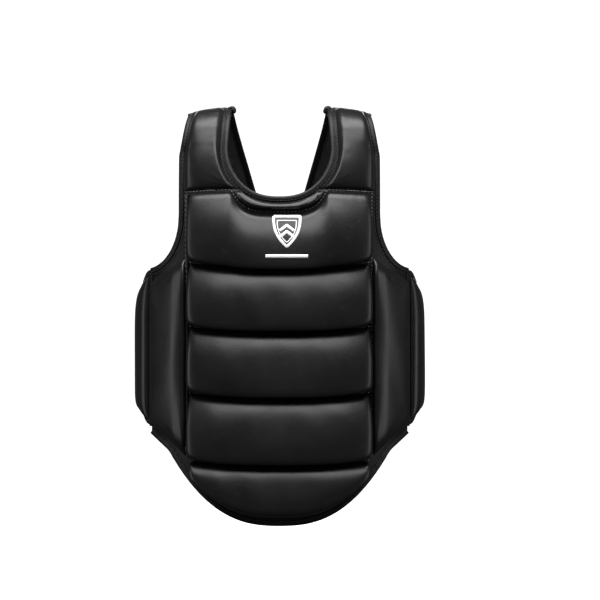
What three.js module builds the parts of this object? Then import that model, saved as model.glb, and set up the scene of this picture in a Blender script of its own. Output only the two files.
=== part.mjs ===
// Chest protector for martial arts and boxing, worn over the shoulders and closed behind the back.
// Millimetres, +Z up. The wearer faces -Y, the side at -X is called left. The origin is on the
// axis of the wearer's torso, at half the protector's height.
import * as THREE from "three";

// ---- Driving dimensions -------------------------------------------------------------------
const HEIGHT = 536; // hem to shoulder tops
const TORSO_HALF_WIDTH = 176; // ellipse that the linings follow around the torso
const TORSO_HALF_DEPTH = 118;

// The way up the chest, over the shoulder and down the back, as arcs: length and turn in degrees.
const CHEST_RISE = 407; // straight stretch above the hem
const OVER_SHOULDER = [
  { length: 85, from: 0, to: 24 },
  { length: 142, from: 24, to: 140 },
  { length: 190, from: 140, to: 165 },
  { length: 150, from: 165, to: 180 },
];
const SHOULDER_ROUNDING = 0.35; // share of the torso's roundness that is left on top of a shoulder

// Layers, as heights above the inside of the lining.
const LINING = { low: 0, high: 1 };
const BASE = { low: 1.4, high: 2.2 };
const BOTH = { low: 0, high: 2.2 };
const PAD_FOOT = 3; // where pads start
const SKIN = 1.2; // thickness of a cover
const SEAM_THICKNESS = 1.4; // thickness of a pad at its sewn edge
const FOAM_GAP = 0.4;

// Outline of the front panel.
const PANEL_HALF_WIDTH = 164.4;
const HEM_HALF_WIDTH = 140; // the rounded apron below the sides
const HEM_RISE = 94;
const HEM_POWER = 2.6;
const HEM_SLOPE = 0.87; // from the apron up to the side corners
const NECK_HALF_WIDTH = 68;
const NECK_BOTTOM = 417;
const NECK_DEPTH = 70;
const NECK_POWER = 2.4;
const ARM_X = 126.5; // inner edge of the armhole
const ARM_LOW = 396.5; // where the armhole starts to turn outwards
const ARM_RADIUS = { x: 44, s: 70.5 };
const SHOULDER_TAPER = { from: 485, power: 1.2 };
const SHOULDER_END = 573.5;
const SHOULDER_INNER_END = 63;
const SHOULDER_OUTER_END = 113.5;

// Sewn channels of the chest: height at their ends, and how far the middle hangs lower.
const SHOULDER_SEAM = 428.5;
const CHANNEL_SEAMS = [
  { end: SHOULDER_SEAM, sag: 0 },
  { end: 335.5, sag: 6 },
  { end: 253, sag: 3.5 },
  { end: 168, sag: 4 },
  { end: 81, sag: 3 },
];
const CHANNEL_HALF_WIDTH = 115.5;
const CHANNEL_GAP = 0.8; // each side of a seam
const CHANNEL_LOFT = 25;
const APRON_HALF_WIDTH = 112;
const APRON_LOFT = 21;

const NECK_ROLL = { halfWidth: 61, drop: 29, power: 4.5, loft: 9 };
const SIDE_PAD = {
  inner: 119, outer: 160, topIn: 342, topOut: 312, lowIn: 90, lowOut: 131, loft: 22,
  square: 0.6, // the share of its width by which it stands square to the body
};
const SHOULDER_LOFT = 11;
const BINDING_WIDTH = 4.5;
const BINDING_STOCK = 0.9;
const BINDING_SLACK = 0.65; // above and below the cloth
const BINDING_ROOM = 1.6; // from the cut edge of the cloth to the fold
const EDGE_MARGIN = 7.5; // from an outline to the pads beside it

// Wings around the ribs, by the angle round the torso from the breastbone.
const WING_HINGE = 69.64;
const WING_START = 70.25;
const WING_PAD_START = 72.2;
const WING_PAD_END = 126;
const WING_TAIL_START = 133;
const WING_TAIL_END = 150;
const WING_MIDDLE = 225.5;
const WING_HALF_HEIGHT = { seam: 98.5, side: 87 };
const WING_SHOULDER = [72, 86]; // the angles between which its corners round off
const TAIL_HALF_HEIGHT = 45;
const WING_LOFT = 12.5;
const WING_STEPS = 14;
const SEAM_TAPE = [133, 315]; // the cloth hinge inside, from low to high

// Elastic belt across the back, and the hook-and-loop pieces.
const BELT_MIDDLE = 219;
const BELT_HALF_HEIGHT = 37;
const BELT = { low: 4.1, high: 5.5 };
const BELT_END = 152.5;
const TAB_START = 151.5;
const TAB_END = 132;
const LOOP = { low: 2.6, high: 3.5 };
const HOOK = { low: 4.1, high: 5 };
const TAB = { low: 5.4, high: 6.6 };
const YOKE_LOOP = { low: 5.9, high: 6.7 };
const YOKE_HOOK = { low: 7.1, high: 8 };
const YOKE_TAB = { low: 8.4, high: 9.6 };
const YOKE_TAB_HALF_WIDTH = 25;

// Back straps, which run together into a yoke.
const STRAP_START = 577.5;
const STRAP_END = 812;
const STRAP_LEAN = 0.285; // sideways per millimetre of drop
const STRAP_WIDTH = { top: 54, end: 44 };
const STRAP_LOFT = 4;
const YOKE = { start: 813.5, end: 870, halfTop: 55, halfEnd: 27, loft: 3 };
const SPINE = { start: 871, end: 905.5, halfWidth: 25 };

// ---- Materials ----------------------------------------------------------------------------
const material = (color, roughness) =>
  new THREE.MeshStandardMaterial({ color, roughness, metalness: 0 });
const COVER = material(0x141415, 0.35);
const FOAM = material(0xc9c7bd, 0.9);
const CLOTH = material(0x0b0b0b, 0.95);
const TAPE = material(0x121212, 0.7);
const ELASTIC = material(0x101010, 0.8);
const LOOP_PILE = material(0x161616, 1);
const HOOK_PILE = material(0x1c1c1c, 0.6);

// ---- Surfaces -----------------------------------------------------------------------------
const radians = THREE.MathUtils.degToRad;
const lerp = THREE.MathUtils.lerp;

// Place and turn of the centre line, s millimetres along it from the hem.
function bodyPath(s) {
  let y = -TORSO_HALF_DEPTH;
  let z = Math.min(s, CHEST_RISE);
  let left = s - CHEST_RISE;
  let turn = 0;
  for (const arc of OVER_SHOULDER) {
    if (left <= 0) break;
    const start = radians(arc.from);
    const radius = arc.length / (radians(arc.to) - start);
    turn = start + Math.min(left, arc.length) / radius;
    y += radius * (Math.cos(start) - Math.cos(turn));
    z += radius * (Math.sin(turn) - Math.sin(start));
    left -= arc.length;
  }
  return { y, z, turn };
}

// A point of the inside of the front, shoulders and back straps, without height.
function vestBase(x, s) {
  const path = bodyPath(s);
  const round = TORSO_HALF_DEPTH * (1 - Math.sqrt(1 - (x / TORSO_HALF_WIDTH) ** 2));
  const share = lerp(SHOULDER_ROUNDING, 1, Math.cos(path.turn) ** 2);
  return new THREE.Vector3(
    x,
    path.y + round * share * Math.cos(path.turn),
    path.z - round * share * Math.sin(path.turn),
  );
}

// A point at height h above the lining: x across, s up the front and over the shoulder.
function vest(x, s, h) {
  const step = 0.5;
  const across = vestBase(x + step, s).sub(vestBase(x - step, s));
  const along = vestBase(x, s + step).sub(vestBase(x, s - step));
  const normal = across.cross(along).normalize();
  return vestBase(x, s).addScaledVector(normal, h);
}

// A point on the flank: angle round the torso from the breastbone towards +X, height, and h above the lining.
function flank(angle, z, h) {
  const a = radians(angle);
  const normal = new THREE.Vector2(
    Math.sin(a) / TORSO_HALF_WIDTH,
    -Math.cos(a) / TORSO_HALF_DEPTH,
  ).normalize();
  return new THREE.Vector3(
    TORSO_HALF_WIDTH * Math.sin(a) + h * normal.x,
    -TORSO_HALF_DEPTH * Math.cos(a) + h * normal.y,
    z,
  );
}

// ---- Outlines, in x and s -----------------------------------------------------------------
function hem(x) {
  const side = Math.abs(x);
  if (side <= HEM_HALF_WIDTH) return HEM_RISE * (side / HEM_HALF_WIDTH) ** HEM_POWER;
  return HEM_RISE + HEM_SLOPE * (side - HEM_HALF_WIDTH);
}

function neckHeight(x) {
  const share = Math.min(1, Math.abs(x) / NECK_HALF_WIDTH) ** NECK_POWER;
  return NECK_BOTTOM + NECK_DEPTH * (1 - Math.sqrt(1 - share));
}

function armholeHeight(x) {
  const side = Math.max(ARM_X, Math.abs(x));
  const share = (ARM_X + ARM_RADIUS.x - side) / ARM_RADIUS.x;
  return ARM_LOW - ARM_RADIUS.s * Math.sqrt(1 - share ** 2);
}

function armholeX(s) {
  const { from, power } = SHOULDER_TAPER;
  if (s > from) {
    return lerp(ARM_X, SHOULDER_OUTER_END, ((s - from) / (SHOULDER_END - from)) ** power);
  }
  if (s > ARM_LOW) return ARM_X;
  const share = (ARM_LOW - s) / ARM_RADIUS.s;
  return ARM_X + ARM_RADIUS.x * (1 - Math.sqrt(1 - Math.min(1, share) ** 2));
}

// x of a neck edge that is `out` millimetres outside the neckline.
function neckX(s, out = 0) {
  const top = NECK_BOTTOM + NECK_DEPTH;
  const half = NECK_HALF_WIDTH + out;
  if (s > top) return lerp(half, SHOULDER_INNER_END + out, (s - top) / (SHOULDER_END - top));
  const share = Math.min(1, (top - s) / (NECK_DEPTH + 1.4 * out));
  return half * (1 - share ** 2) ** (1 / NECK_POWER);
}

function channelSeam(index, x) {
  const seam = CHANNEL_SEAMS[index];
  return seam.end - seam.sag * (1 - (x / CHANNEL_HALF_WIDTH) ** 2);
}

function neckRollSeam(x) {
  const share = Math.min(1, Math.abs(x) / NECK_ROLL.halfWidth) ** NECK_ROLL.power;
  return SHOULDER_SEAM - NECK_ROLL.drop * (1 - share);
}

// ---- Solids -------------------------------------------------------------------------------
// Parameters from 0 to 1 that crowd towards both ends.
function crowded(count) {
  return Array.from({ length: count + 1 }, (_, i) => {
    const even = i / count;
    return lerp(even, 0.5 - 0.5 * Math.cos(Math.PI * even), 0.75);
  });
}

function evenly(count) {
  return Array.from({ length: count + 1 }, (_, i) => i / count);
}

// Turns a closed mesh's faces outwards.
function facingOut(geometry) {
  const p = geometry.getAttribute("position");
  const index = geometry.index.array;
  const [a, b, c] = [new THREE.Vector3(), new THREE.Vector3(), new THREE.Vector3()];
  let volume = 0;
  for (let i = 0; i < index.length; i += 3) {
    a.fromBufferAttribute(p, index[i]);
    b.fromBufferAttribute(p, index[i + 1]);
    c.fromBufferAttribute(p, index[i + 2]);
    volume += a.dot(b.cross(c));
  }
  if (volume < 0) {
    for (let i = 0; i < index.length; i += 3) {
      [index[i + 1], index[i + 2]] = [index[i + 2], index[i + 1]];
    }
  }
  geometry.computeVertexNormals();
  return geometry;
}

function closedGeometry(points, index) {
  const geometry = new THREE.BufferGeometry().setFromPoints(points);
  geometry.setIndex(index);
  return facingOut(geometry);
}

// A closed solid between two heights over a four-sided patch. at(u, v, h) gives a point,
// and low(i, j) and high(i, j) give the heights at a grid corner.
function slab(us, vs, at, low, high) {
  const rows = vs.length;
  const layer = us.length * rows;
  const points = [];
  for (const height of [high, low]) {
    us.forEach((u, i) => vs.forEach((v, j) => points.push(at(u, v, height(i, j)))));
  }
  const index = [];
  const quad = (a, b, c, d) => index.push(a, b, c, a, c, d);
  const corner = (i, j) => i * rows + j;
  for (let i = 0; i + 1 < us.length; i++) {
    for (let j = 0; j + 1 < rows; j++) {
      const [a, b, c, d] = [corner(i, j), corner(i + 1, j), corner(i + 1, j + 1), corner(i, j + 1)];
      quad(a, b, c, d);
      quad(a + layer, d + layer, c + layer, b + layer);
    }
  }
  const rim = [];
  for (let i = 0; i + 1 < us.length; i++) rim.push(corner(i, 0));
  for (let j = 0; j + 1 < rows; j++) rim.push(corner(us.length - 1, j));
  for (let i = us.length - 1; i > 0; i--) rim.push(corner(i, rows - 1));
  for (let j = rows - 1; j > 0; j--) rim.push(corner(0, j));
  rim.forEach((k, n) => {
    const next = rim[(n + 1) % rim.length];
    quad(k + layer, next + layer, next, k);
  });
  return closedGeometry(points, index);
}

const sheet = (us, vs, at, { low, high }) => slab(us, vs, at, () => low, () => high);

// How full a pad is at t, from 0 at its sewn edges to 1 in the middle.
const fullness = (t) => (1 - Math.abs(2 * t - 1) ** 3) ** 0.6;

// A stuffed pad: the cover, a skin that is open towards the lining, and the foam inside it.
function pad(us, vs, at, loft) {
  const top = (i, j) => PAD_FOOT + SEAM_THICKNESS + loft * fullness(us[i]) * fullness(vs[j]);
  const onRim = (i, j) => i === 0 || j === 0 || i === us.length - 1 || j === vs.length - 1;
  const cover = slab(us, vs, at, (i, j) => (onRim(i, j) ? PAD_FOOT : top(i, j) - SKIN), top);
  const foamTop = (i, j) => top(i + 1, j + 1) - SKIN - FOAM_GAP;
  const foam = slab(us.slice(1, -1), vs.slice(1, -1), at, () => PAD_FOOT, foamTop);
  return { cover, foam };
}

// Binding tape folded over an edge: a channel along a list of outline points. The cloth lies to
// the left of the direction of travel when side is 1, and to the right when it is -1.
function binding(outline, at, side) {
  const inner = { low: BOTH.low - BINDING_SLACK, high: BOTH.high + BINDING_SLACK };
  const outer = { low: inner.low - BINDING_STOCK, high: inner.high + BINDING_STOCK };
  const fold = BINDING_ROOM + BINDING_STOCK;
  const section = [
    [-BINDING_WIDTH, outer.low],
    [fold, outer.low],
    [fold, outer.high],
    [-BINDING_WIDTH, outer.high],
    [-BINDING_WIDTH, inner.high],
    [BINDING_ROOM, inner.high],
    [BINDING_ROOM, inner.low],
    [-BINDING_WIDTH, inner.low],
  ];
  const flat = section.map(([x, y]) => new THREE.Vector2(x, y));
  const caps = THREE.ShapeUtils.triangulateShape(flat, []);
  const last = outline.length - 1;
  const points = [];
  outline.forEach((here, i) => {
    const next = outline[Math.min(last, i + 1)];
    const along = next.clone().sub(outline[Math.max(0, i - 1)]).normalize();
    for (const [out, h] of section) {
      points.push(at(here.x + side * along.y * out, here.y - side * along.x * out, h));
    }
  });
  const n = section.length;
  const index = [];
  for (let i = 0; i < last; i++) {
    for (let k = 0; k < n; k++) {
      const [a, b] = [i * n + k, i * n + ((k + 1) % n)];
      index.push(a, b, b + n, a, b + n, a + n);
    }
  }
  for (const [a, b, c] of caps) {
    index.push(a, c, b, last * n + a, last * n + b, last * n + c);
  }
  return closedGeometry(points, index);
}

const mesh = (name, geometry, look) => {
  const made = new THREE.Mesh(geometry, look);
  made.name = name;
  return made;
};

// ---- Front --------------------------------------------------------------------------------
function panelTop(x) {
  if (Math.abs(x) > ARM_X) return armholeHeight(x);
  return Math.min(SHOULDER_SEAM, neckHeight(Math.min(Math.abs(x), NECK_HALF_WIDTH)));
}

// Columns across the front, closer together where an outline turns.
const NECK_COLUMNS = [10, 20, 30, 41];
const MIDDLE_COLUMNS = [56, 71, 86, 101, 115, ARM_X - 0.5];
const ARM_COLUMNS = [ARM_X + 1.5, 136, 145, 155, PANEL_HALF_WIDTH];
const NECK_ROLL_COLUMNS = [0, 15, 29, 41, 50, 56];
const MIDDLE_CHANNEL_COLUMNS = [30, 58];
const OUTER_CHANNEL_COLUMNS = [80, 99, 112];
const mirrored = (xs) => [...xs.map((x) => -x).reverse(), 0, ...xs];
const PANEL_COLUMNS = mirrored([...NECK_COLUMNS, ...MIDDLE_COLUMNS, ...ARM_COLUMNS]);

// Rows up a shoulder.
const SHOULDER_ROWS = evenly(12).map((v) => lerp(SHOULDER_SEAM + CHANNEL_GAP, SHOULDER_END, v));

function frontPanels() {
  const at = (x, v, h) => vest(x, lerp(hem(x), panelTop(x), v), h);
  const rows = [0, 0.5, 0.92, 1];
  return [
    mesh("front_base_panel", sheet(PANEL_COLUMNS, rows, at, BASE), COVER),
    mesh("front_lining", sheet(PANEL_COLUMNS, rows, at, LINING), CLOTH),
  ];
}

function chestChannels() {
  const made = [];
  for (let i = 0; i < CHANNEL_SEAMS.length; i++) {
    const isApron = i === CHANNEL_SEAMS.length - 1;
    const half = isApron ? APRON_HALF_WIDTH : CHANNEL_HALF_WIDTH;
    const top = (x) => (i === 0 ? Math.min(channelSeam(i, x), neckRollSeam(x)) : channelSeam(i, x));
    const steep = (x) => (HEM_POWER * hem(x)) / Math.max(1, Math.abs(x));
    const bottom = (x) =>
      isApron
        ? hem(x) + (EDGE_MARGIN + 1) * Math.hypot(1, steep(x))
        : channelSeam(i + 1, x) + CHANNEL_GAP;
    const at = (u, v, h) => {
      const x = lerp(-half, half, u);
      return vest(x, lerp(bottom(x), top(x) - CHANNEL_GAP, v), h);
    };
    const inner = i === 0 ? NECK_ROLL_COLUMNS.slice(1) : MIDDLE_CHANNEL_COLUMNS;
    const xs = mirrored([...inner, ...OUTER_CHANNEL_COLUMNS, half]);
    const us = xs.map((x) => (x + half) / (2 * half));
    const { cover, foam } = pad(us, crowded(6), at, isApron ? APRON_LOFT : CHANNEL_LOFT);
    made.push(mesh(`chest_cover_${i + 1}`, cover, COVER));
    made.push(mesh(`chest_foam_${i + 1}`, foam, FOAM));
  }
  return made;
}

function neckRoll() {
  const top = (x) => {
    const steep = (neckHeight(x + 1) - neckHeight(x - 1)) / 2;
    return Math.min(SHOULDER_SEAM - CHANNEL_GAP, neckHeight(x) - EDGE_MARGIN * Math.hypot(1, steep));
  };
  const reach = NECK_ROLL_COLUMNS.at(-1);
  const at = (u, v, h) => {
    const x = lerp(-reach, reach, u);
    return vest(x, lerp(neckRollSeam(x) + CHANNEL_GAP, top(x), v), h);
  };
  const us = mirrored(NECK_ROLL_COLUMNS.slice(1)).map((x) => (x + reach) / (2 * reach));
  const { cover, foam } = pad(us, crowded(4), at, NECK_ROLL.loft);
  return [mesh("neck_roll_cover", cover, COVER), mesh("neck_roll_foam", foam, FOAM)];
}

// A side pad stands straight out to the front beside the channels, and square to the body further out.
function sidePad(side) {
  const { inner, outer, topIn, topOut, lowIn, lowOut, loft, square } = SIDE_PAD;
  const front = new THREE.Vector3(0, -1, 0);
  const at = (u, v, h) => {
    const x = lerp(inner, outer, u);
    const s = lerp(lerp(lowIn, lowOut, u), lerp(topIn, topOut, u), v);
    const foot = vest(x, s, 0);
    const up = vest(x, s, 1).sub(foot);
    up.lerp(front, 1 - THREE.MathUtils.smoothstep(u, 0, square)).normalize();
    return foot.addScaledVector(up, h);
  };
  const { cover, foam } = pad(crowded(6), crowded(8), at, loft);
  return [mesh(`side_pad_cover_${side}`, cover, COVER), mesh(`side_pad_foam_${side}`, foam, FOAM)];
}

function shoulder(side) {
  const padAt = (u, v, h) => {
    const s = lerp(SHOULDER_SEAM + CHANNEL_GAP, SHOULDER_END - 5, v);
    return vest(lerp(neckX(s, EDGE_MARGIN), armholeX(s) - EDGE_MARGIN, u), s, h);
  };
  const liningAt = (u, s, h) => vest(lerp(neckX(s), armholeX(s), u), s, h);
  const { cover, foam } = pad(crowded(6), crowded(10), padAt, SHOULDER_LOFT);
  return [
    mesh(`shoulder_cover_${side}`, cover, COVER),
    mesh(`shoulder_foam_${side}`, foam, FOAM),
    mesh(`shoulder_lining_${side}`, sheet(evenly(6), SHOULDER_ROWS, liningAt, BOTH), CLOTH),
  ];
}

function necklineOutline() {
  const right = SHOULDER_ROWS.map((s) => new THREE.Vector2(neckX(s), s));
  const left = right.map(({ x, y }) => new THREE.Vector2(-x, y)).reverse();
  const below = mirrored(NECK_COLUMNS).map((x) => new THREE.Vector2(x, neckHeight(x)));
  return [...left, ...below, ...right];
}

function armholeOutline() {
  const below = ARM_COLUMNS.map((x) => new THREE.Vector2(x, armholeHeight(x))).reverse();
  const beside = SHOULDER_ROWS.map((s) => new THREE.Vector2(armholeX(s), s));
  return [...below, new THREE.Vector2(ARM_X, ARM_LOW), ...beside];
}

const hemOutline = () => PANEL_COLUMNS.map((x) => new THREE.Vector2(x, hem(x)));

// Tape inside the side seam, where a wing is sewn on.
function sideSeamTape(side) {
  const us = [0, 1];
  const at = (u, v, h) =>
    flank(lerp(WING_HINGE - 3.4, WING_HINGE + 0.3, u), lerp(...SEAM_TAPE, v), h);
  return mesh(`side_seam_tape_${side}`, sheet(us, evenly(4), at, { low: -1.5, high: -0.5 }), TAPE);
}

// ---- Wings --------------------------------------------------------------------------------
function wingHalfHeight(angle) {
  const tail = THREE.MathUtils.smoothstep(angle, lerp(WING_PAD_START, WING_PAD_END, 0.45), WING_TAIL_START);
  const corner = THREE.MathUtils.smoothstep(angle, ...WING_SHOULDER);
  return lerp(lerp(WING_HALF_HEIGHT.seam, WING_HALF_HEIGHT.side, corner), TAIL_HALF_HEIGHT, tail);
}

function wing(side) {
  const middle = (angle) =>
    lerp(WING_MIDDLE, BELT_MIDDLE, (angle - WING_START) / (WING_TAIL_END - WING_START));
  const liningAt = (u, v, h) => {
    const angle = lerp(WING_START, WING_TAIL_END, u);
    return flank(angle, middle(angle) + wingHalfHeight(angle) * lerp(-1, 1, v), h);
  };
  const padAt = (u, v, h) => {
    const angle = lerp(WING_PAD_START, WING_PAD_END, u);
    const half = wingHalfHeight(angle) - EDGE_MARGIN * 1.15;
    return flank(angle, middle(angle) + half * lerp(-1, 1, v), h);
  };
  const edge = (up) =>
    evenly(WING_STEPS).map((t) => {
      const angle = lerp(WING_START + 0.6, WING_TAIL_END, t);
      return new THREE.Vector2(angle, middle(angle) + up * wingHalfHeight(angle));
    });
  const { cover, foam } = pad(crowded(9), crowded(8), padAt, WING_LOFT);
  return [
    mesh(`wing_cover_${side}`, cover, COVER),
    mesh(`wing_foam_${side}`, foam, FOAM),
    mesh(`wing_lining_${side}`, sheet(evenly(WING_STEPS), evenly(3), liningAt, BOTH), CLOTH),
    mesh(`wing_binding_${side}`, wingBinding(edge), TAPE),
  ];
}

// The wing's binding goes along the top, round the tail and back along the bottom. It is worked
// out in arc length, so that the tape keeps its width.
function wingBinding(edge) {
  const length = arcLengths(WING_START, WING_TAIL_END);
  const tail = [0.5, 0, -0.5].map(
    (share) => new THREE.Vector2(WING_TAIL_END, BELT_MIDDLE + TAIL_HALF_HEIGHT * share),
  );
  const outline = [...edge(1), ...tail, ...edge(-1).reverse()];
  const flat = outline.map((point) => new THREE.Vector2(length.of(point.x), point.y));
  return binding(flat, (d, z, h) => flank(length.angle(d), z, h), -1);
}

// Converts between the angle round the torso and the distance along it.
function arcLengths(from, to) {
  const steps = 400;
  const table = [0];
  const beyond = 6; // degrees past each end
  const angleAt = (i) => lerp(from - beyond, to + beyond, i / steps);
  for (let i = 1; i <= steps; i++) {
    const chord = flank(angleAt(i), 0, 0).distanceTo(flank(angleAt(i - 1), 0, 0));
    table.push(table[i - 1] + chord);
  }
  return {
    of: (angle) => {
      const i = ((angle - from + beyond) / (to - from + 2 * beyond)) * steps;
      const whole = Math.min(steps - 1, Math.floor(i));
      return lerp(table[whole], table[whole + 1], i - whole);
    },
    angle: (distance) => {
      const next = Math.max(1, table.findIndex((d) => d >= distance));
      const share = (distance - table[next - 1]) / (table[next] - table[next - 1]);
      return angleAt(next - 1 + share);
    },
  };
}

// ---- Belt and hook-and-loop pieces ----------------------------------------------------------
const patch = (fromAngle, toAngle, middle, half) => (u, v, h) =>
  flank(lerp(fromAngle, toAngle, u), middle + half * lerp(-1, 1, v), h);

function loopPanel() {
  const at = patch(WING_TAIL_START, WING_TAIL_END - 3.5, BELT_MIDDLE, BELT_HALF_HEIGHT - 3);
  return mesh("wing_loop_panel", sheet(evenly(6), [0, 1], at, LOOP), LOOP_PILE);
}

// The belt starts on the left wing's tail, on an anchor patch, and crosses the back.
function belt() {
  const anchorAt = patch(-WING_TAIL_START - 1, -WING_TAIL_END + 3.5, BELT_MIDDLE, BELT_HALF_HEIGHT - 3);
  const beltAt = patch(-WING_TAIL_START - 1, BELT_END - 360, BELT_MIDDLE, BELT_HALF_HEIGHT);
  const reach = THREE.MathUtils.radToDeg(Math.asin((YOKE_TAB_HALF_WIDTH + 3) / TORSO_HALF_WIDTH));
  const loopAt = patch(180 - reach, 180 + reach, BELT_MIDDLE, BELT_HALF_HEIGHT - 3);
  return [
    mesh("belt_anchor_patch", sheet(evenly(5), [0, 1], anchorAt, { low: 2.6, high: 3.6 }), COVER),
    mesh("belt_elastic", sheet(evenly(24), [0, 1], beltAt, BELT), ELASTIC),
    mesh("belt_loop_patch", sheet(evenly(6), [0, 1], loopAt, YOKE_LOOP), LOOP_PILE),
  ];
}

function beltTab() {
  const tabAt = patch(TAB_START, TAB_END, BELT_MIDDLE, BELT_HALF_HEIGHT);
  const hookAt = patch(TAB_START - 3.5, TAB_END + 1.5, BELT_MIDDLE, BELT_HALF_HEIGHT - 4);
  return [
    mesh("belt_tab_backing", sheet(evenly(7), [0, 1], tabAt, TAB), COVER),
    mesh("belt_tab_hook", sheet(evenly(6), [0, 1], hookAt, HOOK), HOOK_PILE),
  ];
}

// ---- Back straps, yoke and its tab ----------------------------------------------------------
function strapEdges(s) {
  const drop = bodyPath(SHOULDER_END).z - bodyPath(s).z;
  const inner = SHOULDER_INNER_END - STRAP_LEAN * drop;
  const share = (s - STRAP_START) / (STRAP_END - STRAP_START);
  return { inner, outer: inner + lerp(STRAP_WIDTH.top, STRAP_WIDTH.end, share) };
}

function backStrap(side) {
  const between = (margin, from, to) => (u, v, h) => {
    const s = lerp(from, to, v);
    const { inner, outer } = strapEdges(s);
    return vest(lerp(inner + margin, outer - margin, u), s, h);
  };
  const liningAt = between(0, STRAP_START, STRAP_END);
  const padAt = between(EDGE_MARGIN, STRAP_START + 6, STRAP_END - 1);
  const edge = (key) =>
    evenly(14).map((t) => {
      const s = lerp(STRAP_START, STRAP_END, t);
      return new THREE.Vector2(strapEdges(s)[key], s);
    });
  const { cover, foam } = pad(crowded(4), crowded(12), padAt, STRAP_LOFT);
  return [
    mesh(`strap_cover_${side}`, cover, COVER),
    mesh(`strap_foam_${side}`, foam, FOAM),
    mesh(`strap_lining_${side}`, sheet(evenly(4), evenly(14), liningAt, BOTH), CLOTH),
    mesh(`strap_binding_inner_${side}`, binding(edge("inner"), vest, -1), TAPE),
    mesh(`strap_binding_outer_${side}`, binding(edge("outer"), vest, 1), TAPE),
  ];
}

function yoke() {
  const between = (margin) => (u, v, h) => {
    const half = lerp(YOKE.halfTop, YOKE.halfEnd, v) - margin;
    return vest(lerp(-half, half, u), lerp(YOKE.start + margin, YOKE.end - margin, v), h);
  };
  const spineAt = (u, v, h) =>
    vest(lerp(-SPINE.halfWidth, SPINE.halfWidth, u), lerp(SPINE.start, SPINE.end, v), h);
  const { cover, foam } = pad(crowded(8), crowded(6), between(3), YOKE.loft);
  return [
    mesh("yoke_cover", cover, COVER),
    mesh("yoke_foam", foam, FOAM),
    mesh("yoke_lining", sheet(evenly(8), evenly(3), between(0), BOTH), CLOTH),
    mesh("spine_elastic", sheet(evenly(4), evenly(3), spineAt, { low: 3, high: 4.4 }), ELASTIC),
  ];
}

function yokeTab() {
  const reach = THREE.MathUtils.radToDeg(Math.asin(YOKE_TAB_HALF_WIDTH / TORSO_HALF_WIDTH));
  const tabAt = patch(180 - reach, 180 + reach, BELT_MIDDLE, BELT_HALF_HEIGHT);
  const hookAt = patch(181 - reach, 179 + reach, BELT_MIDDLE - 2, BELT_HALF_HEIGHT - 5);
  return [
    mesh("yoke_tab_backing", sheet(evenly(4), [0, 1], tabAt, YOKE_TAB), COVER),
    mesh("yoke_tab_hook", sheet(evenly(4), [0, 1], hookAt, YOKE_HOOK), HOOK_PILE),
  ];
}

// ---- Assembly -----------------------------------------------------------------------------
function group(...children) {
  return new THREE.Group().add(...children);
}

// What comes in a right and a left copy is modelled on the right; the left group is its mirror.
function handed(side) {
  const made = group(
    ...sidePad(side),
    ...shoulder(side),
    mesh(`armhole_binding_${side}`, binding(armholeOutline(), vest, 1), TAPE),
    sideSeamTape(side),
    ...wing(side),
    ...backStrap(side),
  );
  if (side === "left") made.scale.x = -1;
  return made;
}

const front = group(
  ...frontPanels(),
  ...chestChannels(),
  ...neckRoll(),
  mesh("neckline_binding", binding(necklineOutline(), vest, -1), TAPE),
  mesh("hem_binding", binding(hemOutline(), vest, 1), TAPE),
);
const closure = group(loopPanel(), ...belt(), ...beltTab(), ...yoke(), ...yokeTab());
const standing = group(front, handed("right"), handed("left"), closure);
standing.position.z = -HEIGHT / 2;

const chestProtector = group(standing);
export default chestProtector;
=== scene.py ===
"""Visual model of a padded chest protector: stuffed covers, cloth, bindings, stitches and tabs.

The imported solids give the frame. The body form below is the one they were made on, so that
every piece lies where its solid is. Body sizes are in millimetres and the mesh is in metres.
"""
import math

import bmesh
import bpy
import numpy as np
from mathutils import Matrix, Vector
from mathutils.bvhtree import BVHTree


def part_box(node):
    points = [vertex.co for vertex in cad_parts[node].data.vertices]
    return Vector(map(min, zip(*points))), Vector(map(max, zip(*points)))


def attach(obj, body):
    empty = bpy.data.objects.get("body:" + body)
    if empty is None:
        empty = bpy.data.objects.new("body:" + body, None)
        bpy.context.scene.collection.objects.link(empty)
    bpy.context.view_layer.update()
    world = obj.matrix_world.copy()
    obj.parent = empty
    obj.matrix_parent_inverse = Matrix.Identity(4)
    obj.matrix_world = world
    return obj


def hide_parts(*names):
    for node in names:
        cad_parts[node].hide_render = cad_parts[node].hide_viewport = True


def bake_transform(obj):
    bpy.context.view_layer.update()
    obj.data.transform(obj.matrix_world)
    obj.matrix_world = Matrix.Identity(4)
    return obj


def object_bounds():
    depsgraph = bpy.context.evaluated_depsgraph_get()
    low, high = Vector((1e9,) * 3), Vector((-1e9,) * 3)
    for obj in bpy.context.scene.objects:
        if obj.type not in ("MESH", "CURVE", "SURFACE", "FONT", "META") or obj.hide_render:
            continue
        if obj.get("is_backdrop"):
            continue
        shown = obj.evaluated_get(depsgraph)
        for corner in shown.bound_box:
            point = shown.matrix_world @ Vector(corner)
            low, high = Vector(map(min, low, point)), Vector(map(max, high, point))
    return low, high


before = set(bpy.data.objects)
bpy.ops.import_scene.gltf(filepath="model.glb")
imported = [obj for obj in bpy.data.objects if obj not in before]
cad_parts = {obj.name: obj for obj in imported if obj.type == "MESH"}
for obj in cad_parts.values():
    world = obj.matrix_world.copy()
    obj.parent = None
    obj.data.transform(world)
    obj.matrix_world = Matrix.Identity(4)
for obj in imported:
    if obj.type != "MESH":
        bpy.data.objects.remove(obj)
CAD_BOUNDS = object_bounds()
MM = 0.001
SIDES = {"left": -1, "right": 1}

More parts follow.
